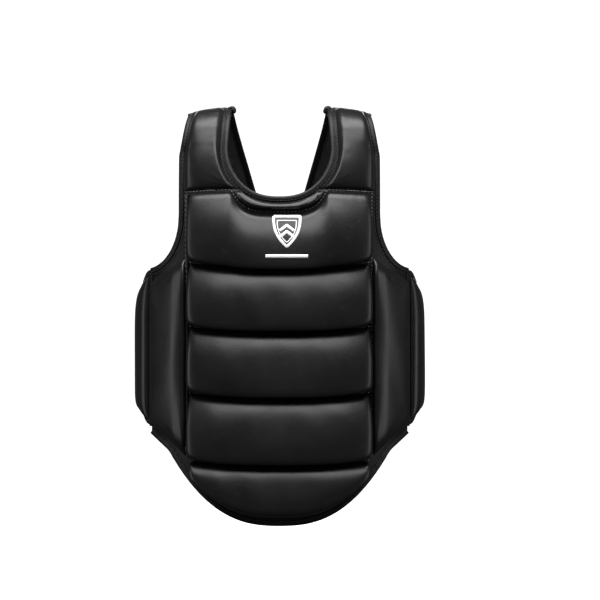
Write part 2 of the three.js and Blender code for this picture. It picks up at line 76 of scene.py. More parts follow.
# ---- Body form: the same driving dimensions as the solids ----
HEM_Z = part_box("front_lining")[0].z / MM
TORSO_HALF_WIDTH, TORSO_HALF_DEPTH = 176, 118
CHEST_RISE = 407
OVER_SHOULDER = [(85, 0, 24), (142, 24, 140), (190, 140, 165), (150, 165, 180)]  # length, turn
SHOULDER_ROUNDING = 0.35
SHOULDER_LIFT, LIFT_REACH = 5.5, 48  # stuffing lifts the top of the shoulders off the form

PANEL_HALF_WIDTH = 164.4
HEM = {"half": 140, "rise": 94, "power": 2.6, "slope": 0.87}
NECK = {"half": 68, "bottom": 417, "depth": 70, "power": 2.4, "inner_end": 63}
ARM = {"x": 126.5, "low": 396.5, "reach": 44, "drop": 70.5, "outer_end": 113.5}
TAPER = {"start": 485, "power": 1.2}
SHOULDER_SEAM, SHOULDER_END = 428.5, 573.5
CHANNEL_SEAMS = [(SHOULDER_SEAM, 0), (335.5, 6), (253, 3.5), (168, 4), (81, 3)]  # height, sag
CHANNEL_HALF, CHANNEL_LOFT = 115.5, 25
APRON_HALF, APRON_LOFT = 112, 21
NECK_ROLL = {"half": 61, "drop": 29, "power": 4.5, "reach": 56, "loft": 9}
SIDE_PAD = {"inner": 119, "outer": 160, "top": (342, 312), "low": (85, 126)}
# Its section, in x and y: a wall beside the channels, a face, a ridge, and a flat outer face.
SIDE_SECTION = [
    (119, -87), (120.5, -97), (123.5, -101.5), (138, -91), (168, -59), (170.5, -54), (162, -51)
]  # fmt: skip
SHOULDER_LOFT, EDGE_MARGIN = 11, 7.5

# Round the torso, places are angles from the breastbone.
WING = {"start": 70.25, "pad": (72.2, 126), "tail": (133, 150), "middle": 225.5}
WING_SEAM = {"sheet": 69.15, "tape": 69.3, "bend": (69.1, 70.6)}
SEAM_TAPE = {"angles": (66.3, 73.1), "heights": (124, 320)}
SEAM_FOLD = {"angles": (67.6, 71.3), "heights": (123, 325), "roll": 0.7}
WING_HALF, WING_CORNER = (98.5, 87), (72, 86)  # half heights, and the angles between them
TAIL_HALF, WING_LOFT = 45, 12.5
BELT = {"middle": 219, "half": 37, "end": 152.5}
TAB_START, TAB_END = 151.5, 132
YOKE_TAB_HALF = 25
STRAP = {"start": 577.5, "end": 812, "lean": 0.285, "top": 54, "low": 44, "loft": 4}
YOKE = {"start": 813.5, "end": 870, "half": (55, 27), "loft": 3}
SPINE = {"start": 871, "end": 905.5, "half": 25}

# ---- Sewing ----
PAD_FOOT = 2.5  # where a cover is sewn down, above the inside of the lining
SEAM_GAP = 0.9  # from a hidden seam's thread to the covers beside it
OPEN_GAP = 2.9  # the same at the seams whose stitches show
CHANNEL_END_GAP, APRON_END_GAP = 2.7, 1
STITCH = {"length": 2.9, "pitch": 4.6, "radius": 0.48}
ON_PANEL, ON_SEAM, ON_TAPE = 2.7, 2.9, 3.5  # where stitches lie, above the lining
TAPE_ROW, EDGE_ROW = 3.4, 6.4  # rows of stitches in from an edge, on its tape and beside it
LEATHER_LAYER, LINING_LAYER = (1.4, 2.2), (0.1, 1.0)
THIN_EDGE = 0.35  # how thick a sheet is at its edges, as a share
SWELL_FRAMES = 20
SWELL_LIMIT = 4  # the most that a cover may move


def body_path(s):
    """Place and turn of the centre line, s millimetres up from the hem."""
    s = np.asarray(s, float)
    y = np.full(s.shape, -float(TORSO_HALF_DEPTH))
    z = np.minimum(s, CHEST_RISE)
    left = s - CHEST_RISE
    turn = np.zeros(s.shape)
    for length, start, end in OVER_SHOULDER:
        start, end = math.radians(start), math.radians(end)
        radius = length / (end - start)
        here = start + np.clip(left, 0, length) / radius
        y = y + radius * (math.cos(start) - np.cos(here))
        z = z + radius * (np.sin(here) - math.sin(start))
        turn = np.where(left > 0, here, turn)
        left = left - length
    return y, z, turn


def vest_base(x, s):
    y, z, turn = body_path(s)
    rounding = TORSO_HALF_DEPTH * (1 - np.sqrt(1 - (x / TORSO_HALF_WIDTH) ** 2))
    rounding = rounding * (SHOULDER_ROUNDING + (1 - SHOULDER_ROUNDING) * np.cos(turn) ** 2)
    lift = SHOULDER_LIFT * np.exp(-(((s - SHOULDER_END) / LIFT_REACH) ** 2))
    return np.stack(
        [x, y + rounding * np.cos(turn), HEM_Z + z + lift - rounding * np.sin(turn)], -1
    )


def vest(x, s, h):
    """Points h above the lining: x across, s up the front and over the shoulder."""
    x, s, h = np.broadcast_arrays(*(np.asarray(a, float) for a in (x, s, h)))
    step = 0.5
    across = vest_base(x + step, s) - vest_base(x - step, s)
    along = vest_base(x, s + step) - vest_base(x, s - step)
    return vest_base(x, s) + unit(np.cross(across, along)) * h[..., None]


def flank(angle, z, h):
    """Points h above the lining: angle round the torso from the breastbone, z up from the hem."""
    angle, z, h = np.broadcast_arrays(*(np.asarray(a, float) for a in (angle, z, h)))
    a = np.radians(angle)
    nx, ny = np.sin(a) / TORSO_HALF_WIDTH, -np.cos(a) / TORSO_HALF_DEPTH
    size = np.hypot(nx, ny)
    x = TORSO_HALF_WIDTH * np.sin(a) + h * nx / size
    y = -TORSO_HALF_DEPTH * np.cos(a) + h * ny / size
    return np.stack([x, y, HEM_Z + z], -1)


def mirrored(at, sign):
    """A surface on the wearer's right, moved to the side that sign says."""
    return lambda *where: at(*where) * [sign, 1, 1]


def lerp(a, b, t):
    return a + (b - a) * t


def smooth(t):
    t = np.clip(t, 0, 1)
    return t * t * (3 - 2 * t)


def unit(vectors):
    return vectors / np.linalg.norm(vectors, axis=-1, keepdims=True)


def distances(points):
    """Distances along a line of points, from its start."""
    return np.concatenate([[0], np.cumsum(np.linalg.norm(np.diff(points, axis=0), axis=1))])


def between(at, known, values):
    """Rows of values, interpolated at new places."""
    return np.stack([np.interp(at, known, column) for column in np.asarray(values).T], -1)


def rounded(points, times):
    """A line of points with its corners averaged away."""
    for _ in range(times):
        points[1:-1] = (points[:-2] + 2 * points[1:-1] + points[2:]) / 4
    return points


def resample(outline, step, smoothing=3):
    """Points about step apart along an outline, slightly rounded."""
    outline = np.asarray(outline, float)
    far = distances(outline)
    at = np.linspace(0, far[-1], max(2, round(far[-1] / step) + 1))
    return rounded(between(at, far, outline), smoothing)


def offset(points, out):
    """The outline moved sideways, to the right of the direction of travel."""
    along = unit(np.gradient(points, axis=0))
    return points + np.stack([along[:, 1], -along[:, 0]], 1) * out


ROUND = np.linspace(-180, 260, 3521)
ROUND_FAR = distances(flank(ROUND, 0, 0))


def to_length(angle):
    return np.interp(angle, ROUND, ROUND_FAR)


def round_torso(d, z, h):
    """The torso's surface by the distance round it."""
    return flank(np.interp(d, ROUND_FAR, ROUND), z, h)


# ---- Outlines, in x and s ----
def hem(x):
    side = np.abs(x)
    curve = HEM["rise"] * (np.minimum(side, HEM["half"]) / HEM["half"]) ** HEM["power"]
    return curve + HEM["slope"] * np.maximum(0, side - HEM["half"])


def neck_height(x):
    share = np.minimum(1, np.abs(x) / NECK["half"]) ** NECK["power"]
    return NECK["bottom"] + NECK["depth"] * (1 - np.sqrt(1 - share))


def neck_x(s, out=0.0):
    """x of a neck edge that is `out` outside the neckline."""
    top = NECK["bottom"] + NECK["depth"]
    half = NECK["half"] + out
    share = np.clip((top - s) / (NECK["depth"] + 1.4 * out), 0, 1)
    curve = half * (1 - share**2) ** (1 / NECK["power"])
    up = np.clip((s - top) / (SHOULDER_END - top), 0, 1)
    return np.where(s > top, lerp(half, NECK["inner_end"] + out, up), curve)


def armhole_height(x):
    share = (ARM["x"] + ARM["reach"] - np.maximum(ARM["x"], np.abs(x))) / ARM["reach"]
    return ARM["low"] - ARM["drop"] * np.sqrt(np.maximum(0, 1 - share**2))


def armhole_x(s):
    up = np.clip((s - TAPER["start"]) / (SHOULDER_END - TAPER["start"]), 0, 1)
    share = np.clip((ARM["low"] - s) / ARM["drop"], 0, 1)
    curve = ARM["x"] + ARM["reach"] * (1 - np.sqrt(1 - share**2))
    return np.where(s > ARM["low"], lerp(ARM["x"], ARM["outer_end"], up ** TAPER["power"]), curve)


def panel_top(x):
    side = np.abs(x)
    inner = np.minimum(SHOULDER_SEAM + SEAM_GAP, neck_height(np.minimum(side, NECK["half"])))
    return np.where(side > ARM["x"], armhole_height(x), inner)


def channel_seam(index, x):
    height, sag = CHANNEL_SEAMS[index]
    return height - sag * (1 - (x / CHANNEL_HALF) ** 2)


def neck_roll_seam(x):
    share = np.minimum(1, np.abs(x) / NECK_ROLL["half"]) ** NECK_ROLL["power"]
    return SHOULDER_SEAM - NECK_ROLL["drop"] * (1 - share)


def strap_edges(s):
    drop = body_path(SHOULDER_END)[1] - body_path(s)[1]
    inner = NECK["inner_end"] - STRAP["lean"] * drop
    share = (s - STRAP["start"]) / (STRAP["end"] - STRAP["start"])
    return inner, inner + lerp(STRAP["top"], STRAP["low"], share)


def wing_middle(angle):
    share = (angle - WING["start"]) / (WING["tail"][1] - WING["start"])
    return lerp(WING["middle"], BELT["middle"], share)


def wing_half(angle):
    start = lerp(*WING["pad"], 0.45)
    corner = smooth((angle - WING_CORNER[0]) / (WING_CORNER[1] - WING_CORNER[0]))
    tail = smooth((angle - start) / (WING["tail"][0] - start))
    return lerp(lerp(*WING_HALF, corner), TAIL_HALF, tail)


# ---- Meshes ----
def evenly(count):
    return np.linspace(0, 1, count + 1)


def crowded(count, share=0.75):
    """Parameters from 0 to 1 that crowd towards both ends."""
    even = evenly(count)
    return lerp(even, 0.5 - 0.5 * np.cos(math.pi * even), share)


def ripple(t, seed, waves=5):
    """A smooth wavy line between about -1 and 1, with a period near 1."""
    rng = np.random.default_rng(seed)
    total = 0
    for _ in range(waves):
        total = total + np.sin(math.tau * (t * rng.uniform(0.45, 1.7) + rng.random()))
    return total / waves**0.5 / 1.3


def make_object(name, points, faces, material, uv=None):
    """A smooth mesh object, outward-facing, from points in millimetres."""
    mesh = bpy.data.meshes.new(name)
    mesh.from_pydata((np.asarray(points) * MM).tolist(), [], faces)
    if uv is not None:
        corners = np.zeros(len(mesh.loops), int)
        mesh.loops.foreach_get("vertex_index", corners)
        mesh.uv_layers.new(name="cloth").data.foreach_set("uv", np.asarray(uv)[corners].ravel())
    work = bmesh.new()
    work.from_mesh(mesh)
    bmesh.ops.recalc_face_normals(work, faces=work.faces)
    work.to_mesh(mesh)
    work.free()
    mesh.polygons.foreach_set("use_smooth", [True] * len(mesh.polygons))
    mesh.materials.append(material)
    made = bpy.data.objects.new(name, mesh)
    bpy.context.scene.collection.objects.link(made)
    return made


def lengths(points):
    """Distances along the rows of a grid of points, from each row's start."""
    steps = np.linalg.norm(np.diff(points, axis=1), axis=-1)
    return np.concatenate([np.zeros((len(points), 1)), np.cumsum(steps, axis=1)], axis=1)


def quads(ids):
    """The faces of a grid of vertex numbers."""
    a, b, c, d = ids[:-1, :-1], ids[1:, :-1], ids[1:, 1:], ids[:-1, 1:]
    return np.stack([a, b, c, d], -1).reshape(-1, 4).tolist()


def tube_faces(count, sides):
    """The faces of a closed tube, whose points are numbered ring by ring."""
    ids = np.arange(count * sides).reshape(count, sides)
    looped = np.concatenate([ids, ids[:, :1]], axis=1)
    return quads(looped) + [ids[0].tolist(), ids[-1].tolist()]


def tube(name, line, side, up, radius, material):
    """A closed tube along a line. radius has a row for each point and a column for each side."""
    around = np.linspace(0, math.tau, radius.shape[1], endpoint=False)[:, None]
    ways = np.cos(around) * side[:, None] + np.sin(around) * up[:, None]
    ring = line[:, None] + radius[..., None] * ways
    return make_object(name, ring.reshape(-1, 3), tube_faces(*radius.shape), material)


def cloth_uv(top):
    """Places on the cloth in millimetres, measured along it."""
    across = lengths(np.swapaxes(top, 0, 1)).mean(0)
    along = lengths(top).mean(0)
    return np.stack(np.meshgrid(across, along, indexing="ij"), -1)


def slab(name, us, vs, at, low, high, material):
    """A closed sheet between two heights, with edges thinned to a share of its thickness."""
    u, v = np.meshgrid(us, vs, indexing="ij")
    inside = np.zeros(u.shape)
    inside[1:-1, 1:-1] = 1
    thick = (high - low) * lerp(THIN_EDGE, 1, inside)
    middle = low + (high - low) / 2
    top = at(u, v, middle + thick / 2)
    bottom = at(u, v, middle - thick / 2)
    ids = np.arange(u.size).reshape(u.shape)
    under = ids + u.size
    rim = [*ids[:-1, 0], *ids[-1, :-1], *ids[:0:-1, -1], *ids[0, :0:-1]]
    faces = quads(ids) + quads(under)
    for a, b in zip(rim, rim[1:] + rim[:1]):
        faces.append([int(a), int(b), int(b + u.size), int(a + u.size)])
    uv = cloth_uv(top).reshape(-1, 2)
    points = np.concatenate([top.reshape(-1, 3), bottom.reshape(-1, 3)])
    made = make_object(name, points, faces, material, np.concatenate([uv, uv]))
    return made, top


def place(piece, body, slot, *nodes):
    """Attaches a piece to its body where body names one, or else bakes its transform in place, and
    hides the solids that it stands for. slot is not used.
    """
    if isinstance(body, str):
        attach(piece, body)
    else:
        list(body)
        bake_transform(piece)
    if nodes:
        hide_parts(*nodes)
    return piece


def declare_sheet(piece, top, rests_on):
    """Works out the size that the cloth was cut to, measured along it, and its area; nothing is
    done with them.
    """
    along = lengths(top)[:, -1]
    across = lengths(np.swapaxes(top, 0, 1))[:, -1]
    a, b = top[1:, 1:] - top[:-1, :-1], top[1:, :-1] - top[:-1, 1:]
    area = np.linalg.norm(np.cross(a, b), axis=-1).sum() / 2 * MM**2
    flat = (across.max() * MM, along.max() * MM)
    area = min(area, flat[0] * flat[1])
    list(rests_on)


def cloth_pair(names, nodes, body, us, vs, at, cloths, rests_on=()):
    """A sheet of PU and the lining inside it, with the solids that each stands for."""
    layers = (LEATHER_LAYER, LINING_LAYER)
    slots = ("pu_leather", "lining_cloth")
    for name, node, layer, slot, cloth, below in zip(
        names, nodes, layers, slots, cloths, (rests_on, ())
    ):
        piece, top = slab(name, us, vs, at, *layer, cloth)
        place(piece, body, slot, *node)
        declare_sheet(piece, top, below)


# ---- Padded covers ----
pads = []


def fullness(t, power=3.0, root=0.6):
    """How full a pad is, from 0 at its sewn edges to 1 in the middle."""
    return (1 - np.abs(2 * t - 1) ** power) ** root


def belly(v, full, upper, lower):
    """A section that is fullest at full, with a power and a root for each part of it."""
    above = (1 - np.clip((v - full) / (1 - full), 0, 1) ** upper[0]) ** upper[1]
    below = (1 - np.clip((full - v) / full, 0, 1) ** lower[0]) ** lower[1]
    return above * below


def make_pad(name, body, nodes, grid, at, height, crease, material):
    """A closed cover on its sewn edge. height(u, v) is its loft before it swells, and
    crease(u, v, across, along) is what its folds add afterwards. The star in nodes is
    where the names of the cover and the foam differ."""
    us, vs = grid
    u, v = np.meshgrid(us, vs, indexing="ij")
    base = at(u, v, PAD_FOOT)
    top = at(u, v, PAD_FOOT + 0.001)
    up = (at(u, v, PAD_FOOT + 1) - top) / 0.999
    top = top + up * height(u, v)[..., None]
    ids = np.arange(u.size).reshape(u.shape)
    under = ids.copy()
    under[1:-1, 1:-1] = np.arange((len(us) - 2) * (len(vs) - 2)).reshape(len(us) - 2, -1) + u.size
    points = np.concatenate([top.reshape(-1, 3), base[1:-1, 1:-1].reshape(-1, 3)])
    uv = cloth_uv(top)
    uvs = np.concatenate([uv.reshape(-1, 2), uv[1:-1, 1:-1].reshape(-1, 2)])
    made = make_object(name, points, quads(ids) + quads(under), material, uvs)
    made.vertex_groups.new(name="sewn").add(np.unique(under).tolist(), 1.0, "REPLACE")
    folds = crease(u, v, uv[..., 0], uv[..., 1])
    pads.append({"piece": made, "count": u.size, "lift": up * folds[..., None]})
    place(made, body, "pu_leather", *(nodes.replace("*", kind) for kind in ("cover", "foam")))


def coordinates(mesh):
    co = np.zeros(len(mesh.vertices) * 3)
    mesh.vertices.foreach_get("co", co)
    return co.reshape(-1, 3)


def swell_pads():
    """Blows up every cover by cloth simulation, held along its seams, and keeps the result."""
    scene = bpy.context.scene
    for pad in pads:
        cloth = pad["piece"].modifiers.new("swell", "CLOTH")
        cloth.point_cache.frame_start, cloth.point_cache.frame_end = 1, SWELL_FRAMES
        s = cloth.settings
        s.quality = 5
        s.mass = 0.3
        s.tension_stiffness = s.compression_stiffness = 15
        s.shear_stiffness = 5
        s.bending_stiffness = 6
        s.use_pressure = True
        s.uniform_pressure_force = 4
        s.shrink_min = 0.0
        s.vertex_group_mass = "sewn"
        s.effector_weights.gravity = 0
    for step in range(1, SWELL_FRAMES + 1):
        scene.frame_set(step)
    graph = bpy.context.evaluated_depsgraph_get()
    for pad in pads:
        piece = pad["piece"]
        before = coordinates(piece.data)
        move = coordinates(piece.evaluated_get(graph).data) - before
        far = np.linalg.norm(move, axis=1, keepdims=True)
        limit = SWELL_LIMIT * MM
        move *= limit * np.tanh(far / limit) / np.maximum(far, 1e-9)
        piece.data.vertices.foreach_set("co", (before + move).ravel())
        piece.modifiers.remove(piece.modifiers["swell"])
    scene.frame_set(1)


def finish_pads():
    """Adds the folds and one level of subdivision."""
    for pad in pads:
        piece = pad["piece"]
        co = coordinates(piece.data)
        co[: pad["count"]] += pad["lift"].reshape(-1, 3) * MM
        piece.data.vertices.foreach_set("co", co.ravel())
        piece.data.update()
        subdivision = piece.modifiers.new("smooth", "SUBSURF")
        subdivision.levels = subdivision.render_levels = 1


def puckers(u, v, across, along, seed, depth=0.45, spacing=11.0, reach=7.0):
    """Small folds that run into a pad from its seams, and a slight unevenness all over."""
    wide, tall = across.max(), along.max()
    total = 0.35 * ripple(across / 70 + along / 160, seed) * fullness(u) * fullness(v)
    for n, (away, place_along) in enumerate(
        [(along, across), (tall - along, across), (across, along), (wide - across, along)]
    ):
        near = np.exp(-away / reach) * (1 - np.exp(-away / 1.5))
        total = total + depth * near * ripple(place_along / spacing, seed + 7 * n + 1)
    return total


def puckered(seed, **options):
    """The crease() of a pad that has no folds of its own."""
    return lambda u, v, across, along: puckers(u, v, across, along, seed, **options)


def fold(x, y, centre, angle, length, width, depth):
    """A single fold: a ridge, or a dent where depth is negative."""
    a = math.radians(angle)
    along = (x - centre[0]) * math.cos(a) + (y - centre[1]) * math.sin(a)
    across = -(x - centre[0]) * math.sin(a) + (y - centre[1]) * math.cos(a)
    return depth * np.exp(-((along / length) ** 2) - (across / width) ** 2)


def stuffed(u, v):
    """How full a channel is: with square ends, and fullest below its middle."""
    return belly(v, 0.36, (2, 0.52), (5, 0.5)) * fullness(u, 40, 0.5)


def chest_pads(material):
    last = len(CHANNEL_SEAMS) - 1
    for i in range(last + 1):
        apron = i == last
        half = APRON_HALF - APRON_END_GAP if apron else CHANNEL_HALF - CHANNEL_END_GAP
        loft = APRON_LOFT if apron else CHANNEL_LOFT
        droop = 5 if apron else 14

        def at(u, v, h):
            x = lerp(-half, half, u)
            top = channel_seam(i, x) - SEAM_GAP
            if i == 0:
                top = np.minimum(channel_seam(0, x), neck_roll_seam(x)) - OPEN_GAP
            if apron:
                slope = HEM["power"] * hem(x) / np.maximum(1, np.abs(x))
                low = hem(x) + (EDGE_MARGIN + 1) * np.hypot(1, slope)
            else:
                low = channel_seam(i + 1, x) + SEAM_GAP
            full = stuffed(u, v) if h > PAD_FOOT else 0
            sag = droop * fullness(u, 4, 0.6) * full**2
            return vest(x, lerp(low, top, v) - sag, h)

        def height(u, v):
            return 0.93 * loft * stuffed(u, v)

        crease = puckered(11 * i + 3, depth=0.3)
        grid = crowded(76), crowded(26)
        nodes = f"chest_*_{i + 1}"
        make_pad(f"chest_pad_{i + 1}", "front", nodes, grid, at, height, crease, material)


def neck_roll_pad(material):
    reach = NECK_ROLL["reach"]

    def at(u, v, h):
        x = lerp(-reach, reach, u)
        steep = (neck_height(x + 1) - neck_height(x - 1)) / 2
        below_edge = neck_height(x) - (EDGE_MARGIN - 2) * np.hypot(1, steep)
        top = np.minimum(SHOULDER_SEAM - OPEN_GAP, below_edge)
        return vest(x, lerp(neck_roll_seam(x) + OPEN_GAP, top, v), h)

    def height(u, v):
        section = belly(v, 0.35, (2, 0.85), (3, 0.5))
        return 0.95 * NECK_ROLL["loft"] * fullness(u, 4, 0.6) * section

    def crease(u, v, across, along):
        total = puckers(u, v, across, along, 71, depth=0.3, spacing=8, reach=4)
        for place_u, depth in ((0.88, 0.9), (0.8, -0.8), (0.72, 0.8), (0.64, -0.5), (0.09, 0.6)):
            centre = (place_u * across.max(), along.max() * 0.55)
            total = total + fold(across, along, centre, 62, 7, 2.4, depth)
        return total * smooth(u / 0.05) * smooth((1 - u) / 0.05)

    grid = crowded(60), crowded(12)
    make_pad("neck_roll", "front", "neck_roll_*", grid, at, height, crease, material)


def side_section(u):
    """The side pad's section at u, from its inner to its outer edge."""
    line = resample(SIDE_SECTION, 1.5, smoothing=5)
    return between(u, np.linspace(0, 1, len(line)), line)


def side_pads(material):
    p = SIDE_PAD

    def foot(u, v):
        s = lerp(lerp(*p["low"], u), lerp(*p["top"], u), v)
        return vest(lerp(p["inner"], p["outer"], u), s, PAD_FOOT)

    def reach(u, v):
        return side_section(u) - foot(u, v)[..., :2]

    def at(u, v, h):
        out = reach(u, v)
        out = out / np.maximum(0.5, np.linalg.norm(out, axis=-1, keepdims=True))
        return foot(u, v) + np.concatenate([out, 0 * out[..., :1]], -1) * (h - PAD_FOOT)

    def height(u, v):
        return np.linalg.norm(reach(u, v), axis=-1) * fullness(v, 12, 0.6)

    grid = evenly(34), crowded(64)
    for side, sign in SIDES.items():
        name, nodes = f"side_pad_{side}", f"side_pad_*_{side}"
        crease = puckered(90 + sign, depth=0.2)
        make_pad(name, "front", nodes, grid, mirrored(at, sign), height, crease, material)


def shoulder_pads(material):
    def at(u, v, h):
        s = lerp(SHOULDER_SEAM + OPEN_GAP, SHOULDER_END - 4, v)
        return vest(lerp(neck_x(s, EDGE_MARGIN), armhole_x(s) - EDGE_MARGIN, u), s, h)

    def height(u, v):
        wide = lerp(0.08, 0.2, smooth((v - 0.3) / 0.35))
        wall = 1 - (1 - np.clip(u / wide, 0, 1)) ** 1.6
        outer = (1 - np.clip((u - 0.6) / 0.4, 0, 1) ** 4) ** 0.5
        slope = (0.8 + 0.2 * u) * (1 - 0.55 * smooth((v - 0.6) / 0.4))
        foot = 1 - 0.45 * np.clip(1 - v / 0.5, 0, 1) ** 2
        return 0.85 * SHOULDER_LOFT * wall * outer * slope * foot * fullness(v, 14, 0.5)

    grid = crowded(26), crowded(44)
    for side, sign in SIDES.items():

        def crease(u, v, across, along):
            total = puckers(u, v, across, along, 120 + sign, depth=0.2)
            ripples = np.exp(-(((u - 0.2) / 0.1) ** 2)) * smooth((v - 0.25) / 0.2)
            total = total + 0.55 * ripples * ripple(along / 11, 33 + sign)
            for n, (share, place_along) in enumerate(((0.14, 6), (0.3, 9), (0.24, 15), (0.45, 8))):
                centre = (across.max() * share, place_along)
                total = total + fold(across, along, centre, 18 + 13 * n, 8, 1.8, 0.6)
            return total * fullness(v)

        name, nodes = f"shoulder_pad_{side}", f"shoulder_*_{side}"
        make_pad(name, "front", nodes, grid, mirrored(at, sign), height, crease, material)


def wing_pads(material):
    def at(u, v, h):
        angle = lerp(*WING["pad"], u)
        half = wing_half(angle) - EDGE_MARGIN * 0.65
        return flank(angle, wing_middle(angle) + half * lerp(-1, 1, v), h)

    def height(u, v):
        ends = np.where(v > 0.5, fullness(v, 5, 0.6), fullness(v, 12, 0.5))
        return 0.95 * WING_LOFT * fullness(u, 5, 0.6) * ends

    grid = crowded(36), crowded(40)
    for side, sign in SIDES.items():
        name, body, nodes = f"wing_pad_{side}", f"wing_{side}", f"wing_*_{side}"
        crease = puckered(150 + sign, depth=0.25, spacing=13)
        make_pad(name, body, nodes, grid, mirrored(at, sign), height, crease, material)


def strap_pads(material):
    def at(u, v, h):
        s = lerp(STRAP["start"] + 6, STRAP["end"] - 1, v)
        inner, outer = strap_edges(s)
        return vest(lerp(inner + EDGE_MARGIN, outer - EDGE_MARGIN, u), s, h)

    def height(u, v):
        return STRAP["loft"] * fullness(u, 4, 0.6) * fullness(v, 12, 0.6)

    grid = crowded(14), crowded(60)
    for side, sign in SIDES.items():
        name, nodes, here = f"strap_pad_{side}", f"strap_*_{side}", mirrored(at, sign)
        crease = puckered(170 + sign, depth=0.3, spacing=12, reach=9)
        make_pad(name, "back_straps", nodes, grid, here, height, crease, material)


def yoke_at(margin):
    def at(u, v, h):
        half = lerp(*YOKE["half"], v) - margin
        return vest(lerp(-half, half, u), lerp(YOKE["start"] + margin, YOKE["end"] - margin, v), h)

    return at


def yoke_pad(material):
    def height(u, v):
        return YOKE["loft"] * fullness(u, 5, 0.6) * fullness(v, 5, 0.6)

    grid, crease = (crowded(34), crowded(20)), puckered(190, depth=0.25, spacing=9)
    make_pad("yoke_pad", "back_straps", "yoke_*", grid, yoke_at(3), height, crease, material)


# ---- Cloth ----
def front_cloth(cloths):
    half = PANEL_HALF_WIDTH

    def at(u, v, h):
        x = lerp(-half, half, u)
        slack = 0.25 * ripple(x / 38 + v * 3, 5) * fullness(v)
        return vest(x, lerp(hem(x), panel_top(x), v), h + slack)

    names = ("front_panel", "front_lining_cloth")
    nodes = (["front_base_panel"], ["front_lining"])
    cloth_pair(names, nodes, "front", evenly(120), evenly(110), at, cloths, names[1:])


def shoulder_cloth(cloths):
    def at(u, v, h):
        s = lerp(SHOULDER_SEAM + SEAM_GAP + 0.3, SHOULDER_END, v)
        return vest(lerp(neck_x(s), armhole_x(s), u), s, h)

    for side, sign in SIDES.items():
        names = (f"shoulder_top_{side}", f"shoulder_cloth_{side}")
        nodes = ([], [f"shoulder_lining_{side}"])
        cloth_pair(names, nodes, "front", evenly(24), evenly(50), mirrored(at, sign), cloths)


def bend(child, start, end):
    return ("front", child, (0, start[1] * MM, 0), (0, end[1] * MM, 0))


def strap_joint():
    middle = 88  # of a strap, from the breastbone
    start, end = vest(middle, SHOULDER_END, 0), vest(middle, STRAP["start"] + 1, 0)
    return bend("back_straps", start, end)


def wing_joint(side):
    return bend(f"wing_{side}", *(flank(angle, 0, 0) for angle in WING_SEAM["bend"]))


def wing_cloth(cloths):
    def at(u, v, h):
        angle = lerp(WING_SEAM["sheet"], WING["tail"][1], u)
        return flank(angle, wing_middle(angle) + wing_half(angle) * lerp(-1, 1, v), h)

    us = np.concatenate([np.linspace(0, 0.03, 7)[:-1], np.linspace(0.03, 1, 70)])
    for side, sign in SIDES.items():
        names = (f"wing_outer_{side}", f"wing_cloth_{side}")
        nodes = ([], [f"wing_lining_{side}"])
        cloth_pair(names, nodes, wing_joint(side), us, evenly(44), mirrored(at, sign), cloths)


def side_seam_tapes(tape, leather):
    """Tape inside each side seam, and the fold of PU that covers the seam outside."""

    def at(u, v, h):
        return flank(lerp(*SEAM_TAPE["angles"], u), lerp(*SEAM_TAPE["heights"], v), h)

    def fold_at(u, v, h):
        roll = SEAM_FOLD["roll"] * fullness(u, 2, 0.5)
        return flank(lerp(*SEAM_FOLD["angles"], u), lerp(*SEAM_FOLD["heights"], v), h + roll)

    us = evenly(14)
    for side, sign in SIDES.items():
        here = mirrored(at, sign)
        piece, _ = slab(f"seam_tape_{side}", us, evenly(40), here, -1.1, -0.4, tape)
        place(piece, wing_joint(side), "binding_tape", f"side_seam_tape_{side}")
        here = mirrored(fold_at, sign)
        piece, _ = slab(f"seam_fold_{side}", us, evenly(60), here, 2.3, 3.0, leather)
        place(piece, wing_joint(side), "pu_leather")


def strap_cloth(cloths):
    def at(u, v, h):
        s = lerp(SHOULDER_END + 0.2, STRAP["end"] + 1, v)
        return vest(lerp(*strap_edges(s), u), s, h)

    vs = np.concatenate([np.linspace(0, 0.05, 9)[:-1], np.linspace(0.05, 1, 64)])
    for side, sign in SIDES.items():
        names = (f"strap_top_{side}", f"strap_cloth_{side}")
        nodes = ([], [f"strap_lining_{side}"])
        cloth_pair(names, nodes, strap_joint(), evenly(16), vs, mirrored(at, sign), cloths)


def shoulder_saddles(leather):
    """Cloth over the top of each shoulder, from the shoulder pad to the strap's pad."""

    def at(u, v, h):
        s = lerp(SHOULDER_END - 7, STRAP["start"] + 8.5, v)
        inner = np.minimum(strap_edges(s)[0], neck_x(s)) + 4
        outer = np.where(s > SHOULDER_END, strap_edges(s)[1], armhole_x(s)) - 4
        crown = 1.6 * fullness(v, 2, 0.5) * fullness(u, 6, 0.5)
        return vest(lerp(inner, outer, u), s, h + crown)

    us = evenly(22)
    for side, sign in SIDES.items():
        here = mirrored(at, sign)
        piece, _ = slab(f"shoulder_saddle_{side}", us, us, here, 2.35, 3.2, leather)
        place(piece, strap_joint(), "pu_leather")


def yoke_cloth(cloths):
    nodes = ([], ["yoke_lining"])
    names = ("yoke_top", "yoke_cloth")
    cloth_pair(names, nodes, "back_straps", evenly(30), evenly(18), yoke_at(0), cloths)


# ---- Bindings ----
BINDING_SECTION = [
    (-4.5, 2.5), (-4.5, 3.1), (-3.7, 3.3), (-3.2, 3.15), (-2.6, 3.4), (-0.8, 3.55),
    (0.9, 3.3), (2.0, 2.4), (2.4, 1.1), (2.0, -0.2), (0.9, -1.05), (-0.8, -1.3),
    (-2.6, -1.2), (-3.2, -1.0), (-3.7, -1.1), (-4.5, -0.9), (-4.5, -0.35),
    (0.3, -0.35), (1.2, 0.3), (1.4, 1.1), (1.2, 1.9), (0.3, 2.5),
]  # fmt: skip


